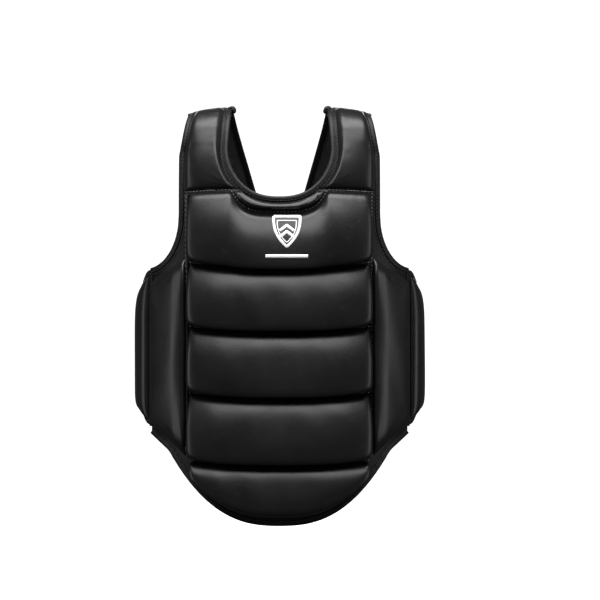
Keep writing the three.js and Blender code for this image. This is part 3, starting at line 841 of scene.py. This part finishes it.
def binding(name, body, node, outline, at, material, seed, side=1):
    """Tape folded over an edge, slightly drawn in by its stitches. side is 1 where the
    outside of the edge is on the right of its outline."""
    step, tape_width = 2.3, 17
    points = resample(outline, step)
    n, count = len(BINDING_SECTION), len(points)
    drawn = 0.12 * ripple(np.arange(count) / 4, seed)
    rings = []
    for out, h in BINDING_SECTION:
        ring = offset(points, side * out)
        rings.append(at(ring[:, 0], ring[:, 1], h + np.sign(h - 1.1) * drawn))
    points = np.stack(rings, axis=1).reshape(-1, 3)
    far = np.cumsum(np.full(count, step))
    uv = np.stack(np.meshgrid(far, np.linspace(0, tape_width, n), indexing="ij"), -1)
    made = make_object(name, points, tube_faces(count, n), material, uv.reshape(-1, 2))
    place(made, body, "binding_tape", node)


def neckline():
    rise = np.linspace(SHOULDER_SEAM, SHOULDER_END, 80)
    right = np.stack([neck_x(rise), rise], 1)
    left = (right * [-1, 1])[::-1]
    across = np.linspace(-40, 40, 61)
    below = np.stack([across, neck_height(across)], 1)
    return np.concatenate([left, below, right])


def armhole():
    across = np.linspace(PANEL_HALF_WIDTH + 0.6, ARM["x"] + 1, 60)
    below = np.stack([across, armhole_height(across)], 1)
    rise = np.linspace(ARM["low"], SHOULDER_END, 90)
    return np.concatenate([below, np.stack([armhole_x(rise), rise], 1)])


def hem_line():
    across = np.linspace(-PANEL_HALF_WIDTH, PANEL_HALF_WIDTH, 260)
    return np.stack([across, hem(across)], 1)


def wing_line():
    angles = np.linspace(WING_SEAM["tape"], WING["tail"][1], 120)
    top = np.stack([to_length(angles), wing_middle(angles) + wing_half(angles)], 1)
    low = np.stack([to_length(angles), wing_middle(angles) - wing_half(angles)], 1)
    return np.concatenate([top, low[::-1]])


def strap_line(which):
    s = np.linspace(SHOULDER_END + 0.2, STRAP["end"] + 1, 120)
    return np.stack([strap_edges(s)[which], s], 1)


def bindings(tape):
    binding("neckline_tape", "front", "neckline_binding", neckline(), vest, tape, 1, side=-1)
    binding("hem_tape", "front", "hem_binding", hem_line(), vest, tape, 2)
    for side, sign in SIDES.items():
        here, wing = mirrored(vest, sign), mirrored(round_torso, sign)
        name, node = f"armhole_tape_{side}", f"armhole_binding_{side}"
        binding(name, "front", node, armhole(), here, tape, 3)
        name, node = f"wing_tape_{side}", f"wing_binding_{side}"
        binding(name, wing_joint(side), node, wing_line(), wing, tape, 4, side=-1)
        for which, edge in enumerate(("inner", "outer")):
            name, node = f"strap_tape_{edge}_{side}", f"strap_binding_{edge}_{side}"
            line, out = strap_line(which), 1 if which else -1
            binding(name, strap_joint(), node, line, here, tape, 5 + which, side=out)


def tape_curls(tape):
    """The ends of the neckline's tape, which curl over towards the neck."""
    steps = [
        (0, 0, -5), (0.3, 0, -2.2), (-1.6, -0.6, -0.2), (-4.4, -1.2, -0.8), (-5.6, -1.6, -4),
        (-4.2, -1.8, -7.4),
    ]  # fmt: skip
    share = np.linspace(0, 1, 40)
    around = np.linspace(0, math.tau, 16, endpoint=False)
    radius = 3.1 * (1 - 0.75 * np.abs(2 * share - 1) ** 8)[:, None]
    radius = radius * (1 + 0.12 * np.cos(3 * around + 9 * share[:, None]))
    back = np.tile([0.0, 1.0, 0.0], (len(share), 1))
    for side, sign in SIDES.items():
        start = vest(sign * (NECK["inner_end"] + 1.5), SHOULDER_END - 9, 3.2)
        path = start + np.array(steps) * [sign, 1, 1]
        line = rounded(between(share, np.linspace(0, 1, len(steps)), path), 6)
        sideways = unit(np.cross(unit(np.gradient(line, axis=0)), back))
        piece = tube(f"tape_curl_{side}", line, sideways, back, radius, tape)
        place(piece, "front", "binding_tape")


# ---- Stitches ----
def stitch_template(sides=6):
    """One stitch, a unit long, that dips into the cloth at both ends."""
    rings = [
        (-0.5, -0.6, 0.4), (-0.36, 0.3, 0.85), (0, 0.75, 1), (0.36, 0.3, 0.85), (0.5, -0.6, 0.4)
    ]  # fmt: skip
    around = np.arange(sides) * math.tau / sides
    points = [
        (x, radius * math.cos(a), lift + 0.8 * radius * math.sin(a))
        for x, lift, radius in rings
        for a in around
    ]
    return np.array(points), tube_faces(len(rings), sides)


def stitches(name, rows, material, body, size=1.0):
    """Rows of thread as one piece. A row is its outline, the surface it lies on and a height."""
    template, pattern = stitch_template()
    half, radius = STITCH["length"] / 2, STITCH["radius"] * size
    points, faces = [], []
    for outline, at, h in rows:
        line = resample(outline, 1.0, smoothing=1)
        low = at(line[:, 0], line[:, 1], h)
        up = at(line[:, 0], line[:, 1], h + 1) - low
        far = distances(low)
        count = max(1, int(far[-1] / STITCH["pitch"]))
        middles = (np.arange(count) + 0.5) * far[-1] / count
        start, end = (between(middles + k * half, far, low) for k in (-1, 1))
        lift, centre = between(middles, far, up), between(middles, far, low)
        along = end - start
        side = unit(np.cross(along, lift))
        for k in range(count):
            axes = np.stack([along[k], radius * side[k], radius * lift[k]])
            base = len(points) * len(template)
            points.append(template @ axes + centre[k])
            faces += [[base + n for n in face] for face in pattern]
    place(make_object(name, np.concatenate(points), faces, material), body, "binding_tape")


def front_stitches(thread):
    across = np.linspace(-NECK_ROLL["half"], NECK_ROLL["half"], 90)
    rows = [(np.stack([across, neck_roll_seam(across)], 1), vest, ON_SEAM)]
    inner, outer, upright, low = NECK_ROLL["half"], 115, 117.4, 84
    for sign in SIDES.values():
        ends = (sign * inner, SHOULDER_SEAM), (sign * outer, SHOULDER_SEAM)
        rows.append((ends, vest, ON_SEAM))
    for i in range(1, len(CHANNEL_SEAMS)):
        across = np.linspace(-CHANNEL_HALF, CHANNEL_HALF, 60)
        rows.append((np.stack([across, channel_seam(i, across)], 1), vest, ON_PANEL))
    rows.append((((upright, low), (upright, SHOULDER_SEAM)), vest, ON_SEAM))
    stitches("seam_stitches", rows, thread, "front")


def two_rows(line, side, at, beside=EDGE_ROW):
    """A row of stitches on an edge's tape and one beside it."""
    line = resample(line, 2.0)
    rows = [(offset(line, side * beside), at, ON_PANEL)]
    return rows + [(offset(line, side * TAPE_ROW), at, ON_TAPE)]


def edge_stitches(thread):
    rows = two_rows(neckline(), 1, vest, 6.6) + two_rows(hem_line(), -1, vest, 6.6)
    for sign in SIDES.values():
        rows += two_rows(armhole(), -1, mirrored(vest, sign))
    stitches("edge_stitches", rows, thread, "front")


def wing_stitches(thread):
    for side, sign in SIDES.items():
        rows = two_rows(wing_line(), 1, mirrored(round_torso, sign))
        stitches(f"wing_stitches_{side}", rows[::-1], thread, wing_joint(side))


def strap_stitches(thread):
    for side, sign in SIDES.items():
        rows = []
        for which, turn in ((0, 1), (1, -1)):
            rows += two_rows(strap_line(which), turn, mirrored(vest, sign), 6.2)[::-1]
        stitches(f"strap_stitches_{side}", rows, thread, strap_joint())


def seam_twist(thread):
    """The thick twisted thread that lies in the left vertical seam."""
    start, end, pitch, thick = 92, 425, 13, 1.9
    s = np.linspace(start, end, 420)
    x = np.full(s.shape, -117.0)
    low = vest(x, s, 4.6)
    lift = vest(x, s, 5.6) - low
    side = np.cross(unit(np.gradient(low, axis=0)), lift)
    around = np.linspace(0, math.tau, 12, endpoint=False)
    turn = around[None, :] - math.tau * (s[:, None] - start) / pitch
    radius = thick * (1 + 0.32 * np.cos(2 * turn))
    place(tube("seam_twist", low, side, lift, radius, thread), "front", "binding_tape")


# ---- Belt, patches and tabs ----
def patch(start, end, middle, half):
    """A rectangle round the torso, as a surface for slab()."""

    def at(u, v, h):
        return flank(lerp(start, end, u), middle + half * lerp(-1, 1, v), h)

    return at


def box_row(start, end, middle, half, inset, h, cross=False):
    """A stitched box round the torso as rows, with its diagonals if it is crossed."""
    a = to_length(start) + inset
    b = to_length(end) - inset
    low, high = middle - half + inset, middle + half - inset
    lines = [((a, low), (b, low), (b, high), (a, high), (a, low))]
    if cross:
        lines += [((a, low), (b, high)), ((a, high), (b, low))]
    return [(line, round_torso, h) for line in lines]


def belt_pieces(leather, webbing, loop, hook, thread):
    middle, half = BELT["middle"], BELT["half"]
    tail_start, tail_end = WING["tail"]
    reach = math.degrees(math.asin((YOKE_TAB_HALF + 3) / TORSO_HALF_WIDTH))
    anchor = (360 - tail_end + 3.5, 360 - tail_start + 1)
    wing_loop = (tail_start, tail_end - 3.5)
    belt_loop = (180 - reach, 180 + reach)
    tab, hooks = (TAB_END, TAB_START), (TAB_END + 1.5, TAB_START - 3.5)
    specs = [
        ("wing_loop", wing_loop, half - 3, (2.6, 3.5), loop, "wing_right",
         "loop_pile", "wing_loop_panel"),
        ("belt_anchor", anchor, half - 3, (2.6, 3.5), leather, "wing_left",
         "pu_leather", "belt_anchor_patch"),
        ("belt", (BELT["end"], anchor[1]), half, (4.1, 5.5), webbing, "wing_left",
         "elastic_webbing", "belt_elastic"),
        ("belt_loop", belt_loop, half - 3, (5.8, 6.7), loop, "wing_left",
         "loop_pile", "belt_loop_patch"),
        ("belt_tab", tab, half, (5.3, 6.6), leather, "belt_tab",
         "pu_leather", "belt_tab_backing"),
        ("belt_tab_hooks", hooks, half - 4, (4.1, 5.1), hook, "belt_tab",
         "hook_pile", "belt_tab_hook"),
    ]  # fmt: skip
    for name, (start, end), tall, layer, material, body, slot, node in specs:
        long = max(12, int(abs(end - start) * 1.2))
        at = patch(start, end, middle, tall)
        piece, _ = slab(name, evenly(long), evenly(28), at, *layer, material)
        place(piece, body, slot, node)
    rows = box_row(*anchor, middle, half, 5, 5.7, cross=True)
    stitches("belt_stitches", rows, thread, "wing_left", size=1.1)
    rows = box_row(*wing_loop, middle, half - 3, 3, 3.7)
    stitches("wing_loop_stitches", rows, thread, "wing_right")
    rows = box_row(*belt_loop, middle, half - 3, 3, 6.9)
    stitches("belt_loop_stitches", rows, thread, "wing_left")
    rows = box_row(*tab, middle, half, 4, 6.8)
    stitches("belt_tab_stitches", rows, thread, "belt_tab")
    belt_hinge(webbing)


def belt_hinge(webbing):
    """The cloth that joins the tab to the end of the belt, built in one fixed shape; the real one
    bends as the tab peels.
    """
    middle, half = BELT["middle"], BELT["half"] - 0.6

    def at(u, v, h):
        angle = lerp(BELT["end"] + 1.8, TAB_START - 1.8, u)
        return flank(angle, middle + half * lerp(-1, 1, v), h + 1.1 * smooth(u))

    piece, _ = slab("belt_hinge", evenly(14), evenly(28), at, 5.6, 6.3, webbing)
    joint = [tuple(flank(angle, middle, 5.5) * MM) for angle in (BELT["end"], TAB_START)]
    place(piece, ("wing_left", "belt_tab", *joint), "elastic_webbing")


def yoke_pieces(leather, webbing, hook, thread):
    def spine_at(u, v, h):
        x = lerp(-SPINE["half"], SPINE["half"], u)
        return vest(x, lerp(YOKE["end"] - 8, SPINE["end"], v), h)

    spine, _ = slab("spine_strap", evenly(20), evenly(24), spine_at, 3.0, 4.3, webbing)
    place(spine, "back_straps", "elastic_webbing", "spine_elastic")
    reach = math.degrees(math.asin(YOKE_TAB_HALF / TORSO_HALF_WIDTH))
    middle, half = BELT["middle"], BELT["half"]
    at = patch(180 - reach, 180 + reach, middle, half)
    tab, _ = slab("yoke_tab", evenly(20), evenly(28), at, 8.4, 9.6, leather)
    place(tab, "yoke_tab", "pu_leather", "yoke_tab_backing")
    at = patch(181 - reach, 179 + reach, middle - 2, half - 5)
    hooks, _ = slab("yoke_tab_hooks", evenly(20), evenly(28), at, 7.1, 8.1, hook)
    place(hooks, "yoke_tab", "hook_pile", "yoke_tab_hook")
    rows = box_row(180 - reach, 180 + reach, middle, half, 4, 9.8)
    stitches("yoke_tab_stitches", rows, thread, "yoke_tab")
    low, top = YOKE["end"] - 4, YOKE["start"] + 2
    rows = [(((-22, low), (22, low)), vest, 4.6), (((-50, top), (50, top)), vest, ON_PANEL)]
    stitches("yoke_stitches", rows, thread, "back_straps")
    yoke_fold(webbing)


def yoke_fold(webbing):
    """The end of the spine elastic that turns out and down to carry the tab."""
    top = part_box("spine_elastic")
    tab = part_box("yoke_tab_backing")
    start = Vector((0, top[1].y - 0.0007, top[0].z + 0.004)) / MM
    end = Vector((0, tab[0].y + 0.0005, tab[1].z - 0.004)) / MM

    def at(u, v, h):
        x = lerp(-SPINE["half"] + 1, SPINE["half"] - 1, u)
        y = lerp(start.y, end.y, smooth(v)) - 0.5 * (x / 60) ** 2
        return np.stack([x, y + h, lerp(start.z, end.z, v)], -1)

    piece, _ = slab("yoke_fold", evenly(16), evenly(14), at, 0.4, 1.4, webbing)
    joint = (0, 0, top[0].z), (0, 0, tab[1].z)
    place(piece, ("back_straps", "yoke_tab", *joint), "elastic_webbing")


# ---- Printed mark ----
def stroke(points, width):
    """A strip of a given width along a line, as two edges and a middle."""
    line = resample(points, 0.8, smoothing=0)
    return np.stack([offset(line, width * k) for k in (-0.5, 0, 0.5)], axis=1)


def mark_strokes(centre):
    """A plain shield with two chevrons, and a bar below."""
    half, tall = 17, 19.5

    def shield(scale):
        top = np.stack([np.linspace(-half, half, 30) * scale, np.full(30, tall * scale)], 1)
        down = np.linspace(0, 1, 40)
        right = np.stack([half * scale * (1 - down**2.6), tall * scale * (1 - 2 * down)], 1)
        left = (right * [-1, 1])[::-1]
        return np.concatenate([top, right[1:], left[1:]])

    strokes = [(shield(1.0), 3.4), (shield(0.72), 1.2)]
    for drop in (6, -2):
        strokes.append(([(-9, drop - 5), (0, drop + 2), (9, drop - 5)], 3.6))
    strokes.append(([(-27, -tall - 12), (27, -tall - 12)], 4.4))
    return [(np.asarray(line, float) + centre, width) for line, width in strokes]


def printed_mark(white):
    """The mark, laid on the first channel by dropping its points onto the cover."""
    graph = bpy.context.evaluated_depsgraph_get()
    tree = BVHTree.FromObject(bpy.data.objects["chest_pad_1"], graph)
    middle, clear, ink = np.array([9.7, 106.0]), 0.00022, 0.00012
    points, faces = [], []
    for line, width in mark_strokes(middle):
        strip = stroke(line, width)
        ids = np.arange(strip.shape[0] * 3).reshape(-1, 3) + len(points)
        for x, z in strip.reshape(-1, 2):
            hit, normal, _, _ = tree.ray_cast(Vector((x, -400, z)) * MM, Vector((0, 1, 0)))
            points.append(np.array(hit + normal * clear) / MM)
        faces += quads(ids)
    made = make_object("printed_mark", np.array(points), faces, white)
    thick = made.modifiers.new("ink", "SOLIDIFY")
    thick.thickness, thick.offset = ink, 1
    place(made, "front", "pu_leather")


# ---- Materials ----
def new_material(name):
    material = bpy.data.materials.new(name)
    material.use_nodes = True
    tree = material.node_tree
    return material, tree, tree.nodes["Principled BSDF"]


def add(tree, kind, inputs=None, **settings):
    """A node whose inputs are values, or sockets to link."""
    node = tree.nodes.new(kind)
    for key, value in settings.items():
        setattr(node, key, value)
    for key, value in (inputs or {}).items():
        if isinstance(value, bpy.types.NodeSocket):
            tree.links.new(value, node.inputs[key])
        else:
            node.inputs[key].default_value = value
    return node


def object_place(tree):
    return add(tree, "ShaderNodeTexCoord").outputs["Object"]


def cloth_axes(tree):
    """Places across and along the cloth, in millimetres."""
    where = add(tree, "ShaderNodeUVMap", uv_map="cloth").outputs["UV"]
    split = add(tree, "ShaderNodeSeparateXYZ", {"Vector": where})
    return split.outputs["X"], split.outputs["Y"]


def noise(tree, vector, scale, detail=3.0, roughness=0.55):
    inputs = {"Vector": vector, "Scale": scale, "Detail": detail, "Roughness": roughness}
    return add(tree, "ShaderNodeTexNoise", inputs).outputs["Fac"]


def mapped(tree, value, low, high, start=0.3, end=0.7):
    inputs = {"Value": value, "From Min": start, "From Max": end, "To Min": low, "To Max": high}
    return add(tree, "ShaderNodeMapRange", inputs).outputs["Result"]


def math_node(tree, operation, a, b=0.0):
    return add(tree, "ShaderNodeMath", {0: a, 1: b}, operation=operation).outputs[0]


def plus(tree, a, b, share=1.0):
    """a with a share of b added."""
    return math_node(tree, "ADD", a, math_node(tree, "MULTIPLY", b, share))


def wave(tree, value, pitch):
    return math_node(tree, "SINE", math_node(tree, "MULTIPLY", value, math.tau / pitch))


def set_inputs(shader, values):
    for name, value in values.items():
        shader.inputs[name].default_value = value


def two_tone(tree, shader, value, dark, light):
    """Base colour that wanders between two greys. Each is its level and that of its blue."""
    mix = add(tree, "ShaderNodeMix", {"Factor": value}, data_type="RGBA")
    for socket, (level, blue) in ((6, dark), (7, light)):
        mix.inputs[socket].default_value = (level, level, blue, 1)
    tree.links.new(mix.outputs[2], shader.inputs["Base Color"])


def bump(tree, shader, height, strength, distance, below=None):
    inputs = {"Height": height, "Strength": strength, "Distance": distance}
    if below is not None:
        inputs["Normal"] = below
    made = add(tree, "ShaderNodeBump", inputs).outputs["Normal"]
    tree.links.new(made, shader.inputs["Normal"])
    return made


def leather(name, dark, light, shine, grain=0.1, gloss=0.35):
    """PU leather: a fine pebble grain, soft creases, and slight scuffs that dull it."""
    material, tree, shader = new_material(name)
    where = object_place(tree)
    two_tone(tree, shader, mapped(tree, noise(tree, where, 22), 0, 1), dark, light)
    inputs = {"Vector": where, "Scale": 1100}
    cells = add(tree, "ShaderNodeTexVoronoi", inputs, feature="SMOOTH_F1").outputs["Distance"]
    pebble = plus(tree, cells, noise(tree, where, 620, 4), 0.6)
    under = bump(tree, shader, noise(tree, where, 46, 3), 0.1, 0.0012)
    bump(tree, shader, pebble, grain, 0.0002, under)
    scuffs = mapped(tree, noise(tree, where, 130, 6, 0.7), 0, 0.12, 0.56, 0.72)
    patches = mapped(tree, noise(tree, where, 15), shine - 0.035, shine + 0.04)
    tree.links.new(math_node(tree, "ADD", patches, scuffs), shader.inputs["Roughness"])
    set_inputs(shader, {"Specular IOR Level": gloss})
    return material


def knit(name):
    """Black warp-knit lining: rows of loops with pin holes between them."""
    material, tree, shader = new_material(name)
    across, along = cloth_axes(tree)
    rows = wave(tree, across, 1.5)
    loops = wave(tree, plus(tree, along, rows, 0.3), 1.8)
    height = math_node(tree, "MULTIPLY", rows, loops)
    tone = mapped(tree, height, 0, 1, -0.8, 0.8)
    two_tone(tree, shader, tone, (0.004, 0.0042), (0.017, 0.018))
    under = bump(tree, shader, noise(tree, object_place(tree), 900, 3), 0.3, 0.0002)
    bump(tree, shader, height, 0.5, 0.0004, under)
    set_inputs(shader, {"Roughness": 0.9, "Sheen Weight": 0.15, "Sheen Roughness": 0.5})
    return material


def woven(name, rib, dark, light, rough):
    """Woven tape or elastic: ribs across it and a fine diagonal weave."""
    material, tree, shader = new_material(name)
    across, along = cloth_axes(tree)
    ribs = wave(tree, along, rib)
    weave = wave(tree, plus(tree, across, ribs, 0.35), rib * 0.6)
    total = plus(tree, ribs, weave, 0.5)
    two_tone(tree, shader, mapped(tree, total, 0, 1, -1.2, 1.2), dark, light)
    under = bump(tree, shader, noise(tree, object_place(tree), 700, 3), 0.2, 0.0002)
    bump(tree, shader, total, 0.5, 0.0003, under)
    worn = mapped(tree, noise(tree, object_place(tree), 60), rough - 0.05, rough + 0.06)
    tree.links.new(worn, shader.inputs["Roughness"])
    set_inputs(shader, {"Sheen Weight": 0.1})
    return material


def loop_pile():
    """The soft half of hook-and-loop tape."""
    material, tree, shader = new_material("loop_pile")
    where = object_place(tree)
    fluff = plus(tree, noise(tree, where, 1500, 5, 0.8), noise(tree, where, 260, 4), 1.2)
    two_tone(tree, shader, mapped(tree, fluff, 0, 1, 0.8, 1.4), (0.006, 0.006), (0.035, 0.036))
    bump(tree, shader, fluff, 0.9, 0.0009)
    set_inputs(shader, {"Roughness": 0.95, "Sheen Weight": 0.35})
    return material


def hook_pile():
    """The stiff half of hook-and-loop tape: rows of small plastic hooks."""
    material, tree, shader = new_material("hook_pile")
    across, along = cloth_axes(tree)
    dots = math_node(tree, "MULTIPLY", wave(tree, across, 1.3), wave(tree, along, 1.7))
    two_tone(tree, shader, mapped(tree, dots, 0, 1, -0.2, 0.7), (0.006, 0.006), (0.03, 0.032))
    bump(tree, shader, dots, 0.9, 0.0007)
    set_inputs(shader, {"Roughness": 0.45})
    return material


def thread_material(name, dark, light):
    """Bonded polyester thread with a fine twist."""
    material, tree, shader = new_material(name)
    inputs = {"Vector": object_place(tree), "Scale": 900.0, "Distortion": 1.5}
    twist = add(tree, "ShaderNodeTexWave", inputs).outputs["Fac"]
    two_tone(tree, shader, twist, dark, light)
    bump(tree, shader, twist, 0.3, 0.0001)
    set_inputs(shader, {"Roughness": 0.55, "Specular IOR Level": 0.25})
    return material


def print_material():
    """White screen print, a little broken where the leather's grain shows through."""
    material, tree, shader = new_material("white_print")
    where = object_place(tree)
    tone = mapped(tree, noise(tree, where, 520, 5), 0, 1, 0.36, 0.5)
    two_tone(tree, shader, tone, (0.8, 0.79), (0.94, 0.93))
    bump(tree, shader, noise(tree, where, 620, 4), 0.12, 0.0002)
    set_inputs(shader, {"Roughness": 0.5})
    return material


# ---- Studio ----
def studio():
    """A pale bowl that is floor and backdrop in one, and soft lights."""
    floor_z, radius, bend, top = -0.42, 8.0, 1.2, 8.0
    profile = [(0.0, floor_z), (radius - bend, floor_z)]
    for a in np.linspace(0, math.pi / 2, 12)[1:]:
        profile.append((radius - bend + bend * math.sin(a), floor_z + bend * (1 - math.cos(a))))
    profile.append((radius, top))
    turns = np.linspace(0, math.tau, 97)[:-1]
    points = [(r * math.cos(a), r * math.sin(a), z) for a in turns for r, z in profile]
    ids = np.arange(len(points)).reshape(len(turns), len(profile))
    looped = np.concatenate([ids, ids[:1]])
    material, tree, shader = new_material("pale_floor")
    tone = mapped(tree, noise(tree, object_place(tree), 0.8), 0, 1)
    two_tone(tree, shader, tone, (0.88, 0.88), (0.92, 0.92))
    white = (1, 1, 1, 1)
    set_inputs(shader, {"Roughness": 0.9, "Emission Color": white, "Emission Strength": 1.0})
    bowl = make_object("studio_floor", np.array(points) / MM, quads(looped), material)
    bowl.visible_glossy = bowl.visible_diffuse = bowl.visible_shadow = False
    bowl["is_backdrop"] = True
    world = bpy.data.worlds.new("studio") if not bpy.data.worlds else bpy.data.worlds[0]
    bpy.context.scene.world = world
    world.use_nodes = True
    set_inputs(world.node_tree.nodes["Background"], {"Color": white, "Strength": 0.07})
    softbox("key", (0.0, -0.3, 2.4), (0, -0.05, 0.1), (2.8, 1.2), 95)
    softbox("upper", (0.0, -1.65, 1.95), (0, 0, 0), (3.2, 1.3), 85)
    softbox("front", (0.2, -3.4, 0.5), (0, 0, 0), (2.4, 1.2), 2)
    softbox("left", (-2.3, -0.6, 0.1), (0, 0, 0), (0.7, 2.0), 11)
    softbox("right", (2.3, -0.6, 0.1), (0, 0, 0), (0.7, 2.0), 11)
    softbox("back", (0.0, 2.8, 0.9), (0, 0, 0), (2.4, 1.0), 26)


def softbox(name, place_at, target, size, power):
    light = bpy.data.lights.new(name, "AREA")
    light.shape = "RECTANGLE"
    light.size, light.size_y = size
    light.energy = power
    made = bpy.data.objects.new(name, light)
    made.location = place_at
    made.rotation_euler = (Vector(target) - Vector(place_at)).to_track_quat("-Z", "Y").to_euler()
    bpy.context.scene.collection.objects.link(made)


def camera():
    """A long lens, level with the middle of the chest."""
    data = bpy.data.cameras.new("camera")
    made = bpy.data.objects.new("camera", data)
    distance, view_width = 4.6, 0.777
    aim = Vector((0.0265, 0, 0.0188))
    data.sensor_width = 36
    data.lens = data.sensor_width * distance / view_width
    data.clip_end = 50
    made.location = aim + Vector((0, -distance - 0.06, 0))
    made.rotation_euler = (math.pi / 2, 0, 0)
    bpy.context.scene.collection.objects.link(made)
    bpy.context.scene.camera = made
    bpy.context.scene.view_settings.view_transform = "Standard"


def main():
    camera()
    studio()
    pu = leather("pu_leather", (0.005, 0.0052), (0.008, 0.0083), 0.31)
    dull = (0.004, 0.0042), (0.007, 0.0073), 0.45
    pu_flat = leather("pu_flat", *dull, grain=0.16, gloss=0.2)
    tape = leather("pu_tape", *dull, grain=0.14, gloss=0.22)
    cloths = pu_flat, knit("knit_lining")
    webbing = woven("elastic_webbing", 2.4, (0.006, 0.006), (0.026, 0.027), 0.7)
    seam_tape = woven("seam_tape", 1.2, (0.006, 0.006), (0.02, 0.021), 0.8)
    thread = thread_material("thread", (0.1, 0.1), (0.22, 0.215))
    dark_thread = thread_material("dark_thread", (0.014, 0.014), (0.045, 0.045))
    loop, hook = loop_pile(), hook_pile()
    for build in (
        chest_pads, neck_roll_pad, side_pads, shoulder_pads, wing_pads, strap_pads, yoke_pad
    ):  # fmt: skip
        build(pu)
    swell_pads()
    finish_pads()
    front_cloth(cloths)
    shoulder_cloth(cloths)
    wing_cloth(cloths)
    side_seam_tapes(seam_tape, pu_flat)
    strap_cloth(cloths)
    shoulder_saddles(pu_flat)
    yoke_cloth(cloths)
    bindings(tape)
    tape_curls(tape)
    front_stitches(thread)
    for build in (edge_stitches, wing_stitches, strap_stitches, seam_twist):
        build(dark_thread)
    belt_pieces(pu, webbing, loop, hook, dark_thread)
    yoke_pieces(pu, webbing, hook, dark_thread)
    printed_mark(print_material())


main()
boxes = {"cad": CAD_BOUNDS, "visual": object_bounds()}
{k: [list(corner) for corner in box] for k, box in boxes.items()}
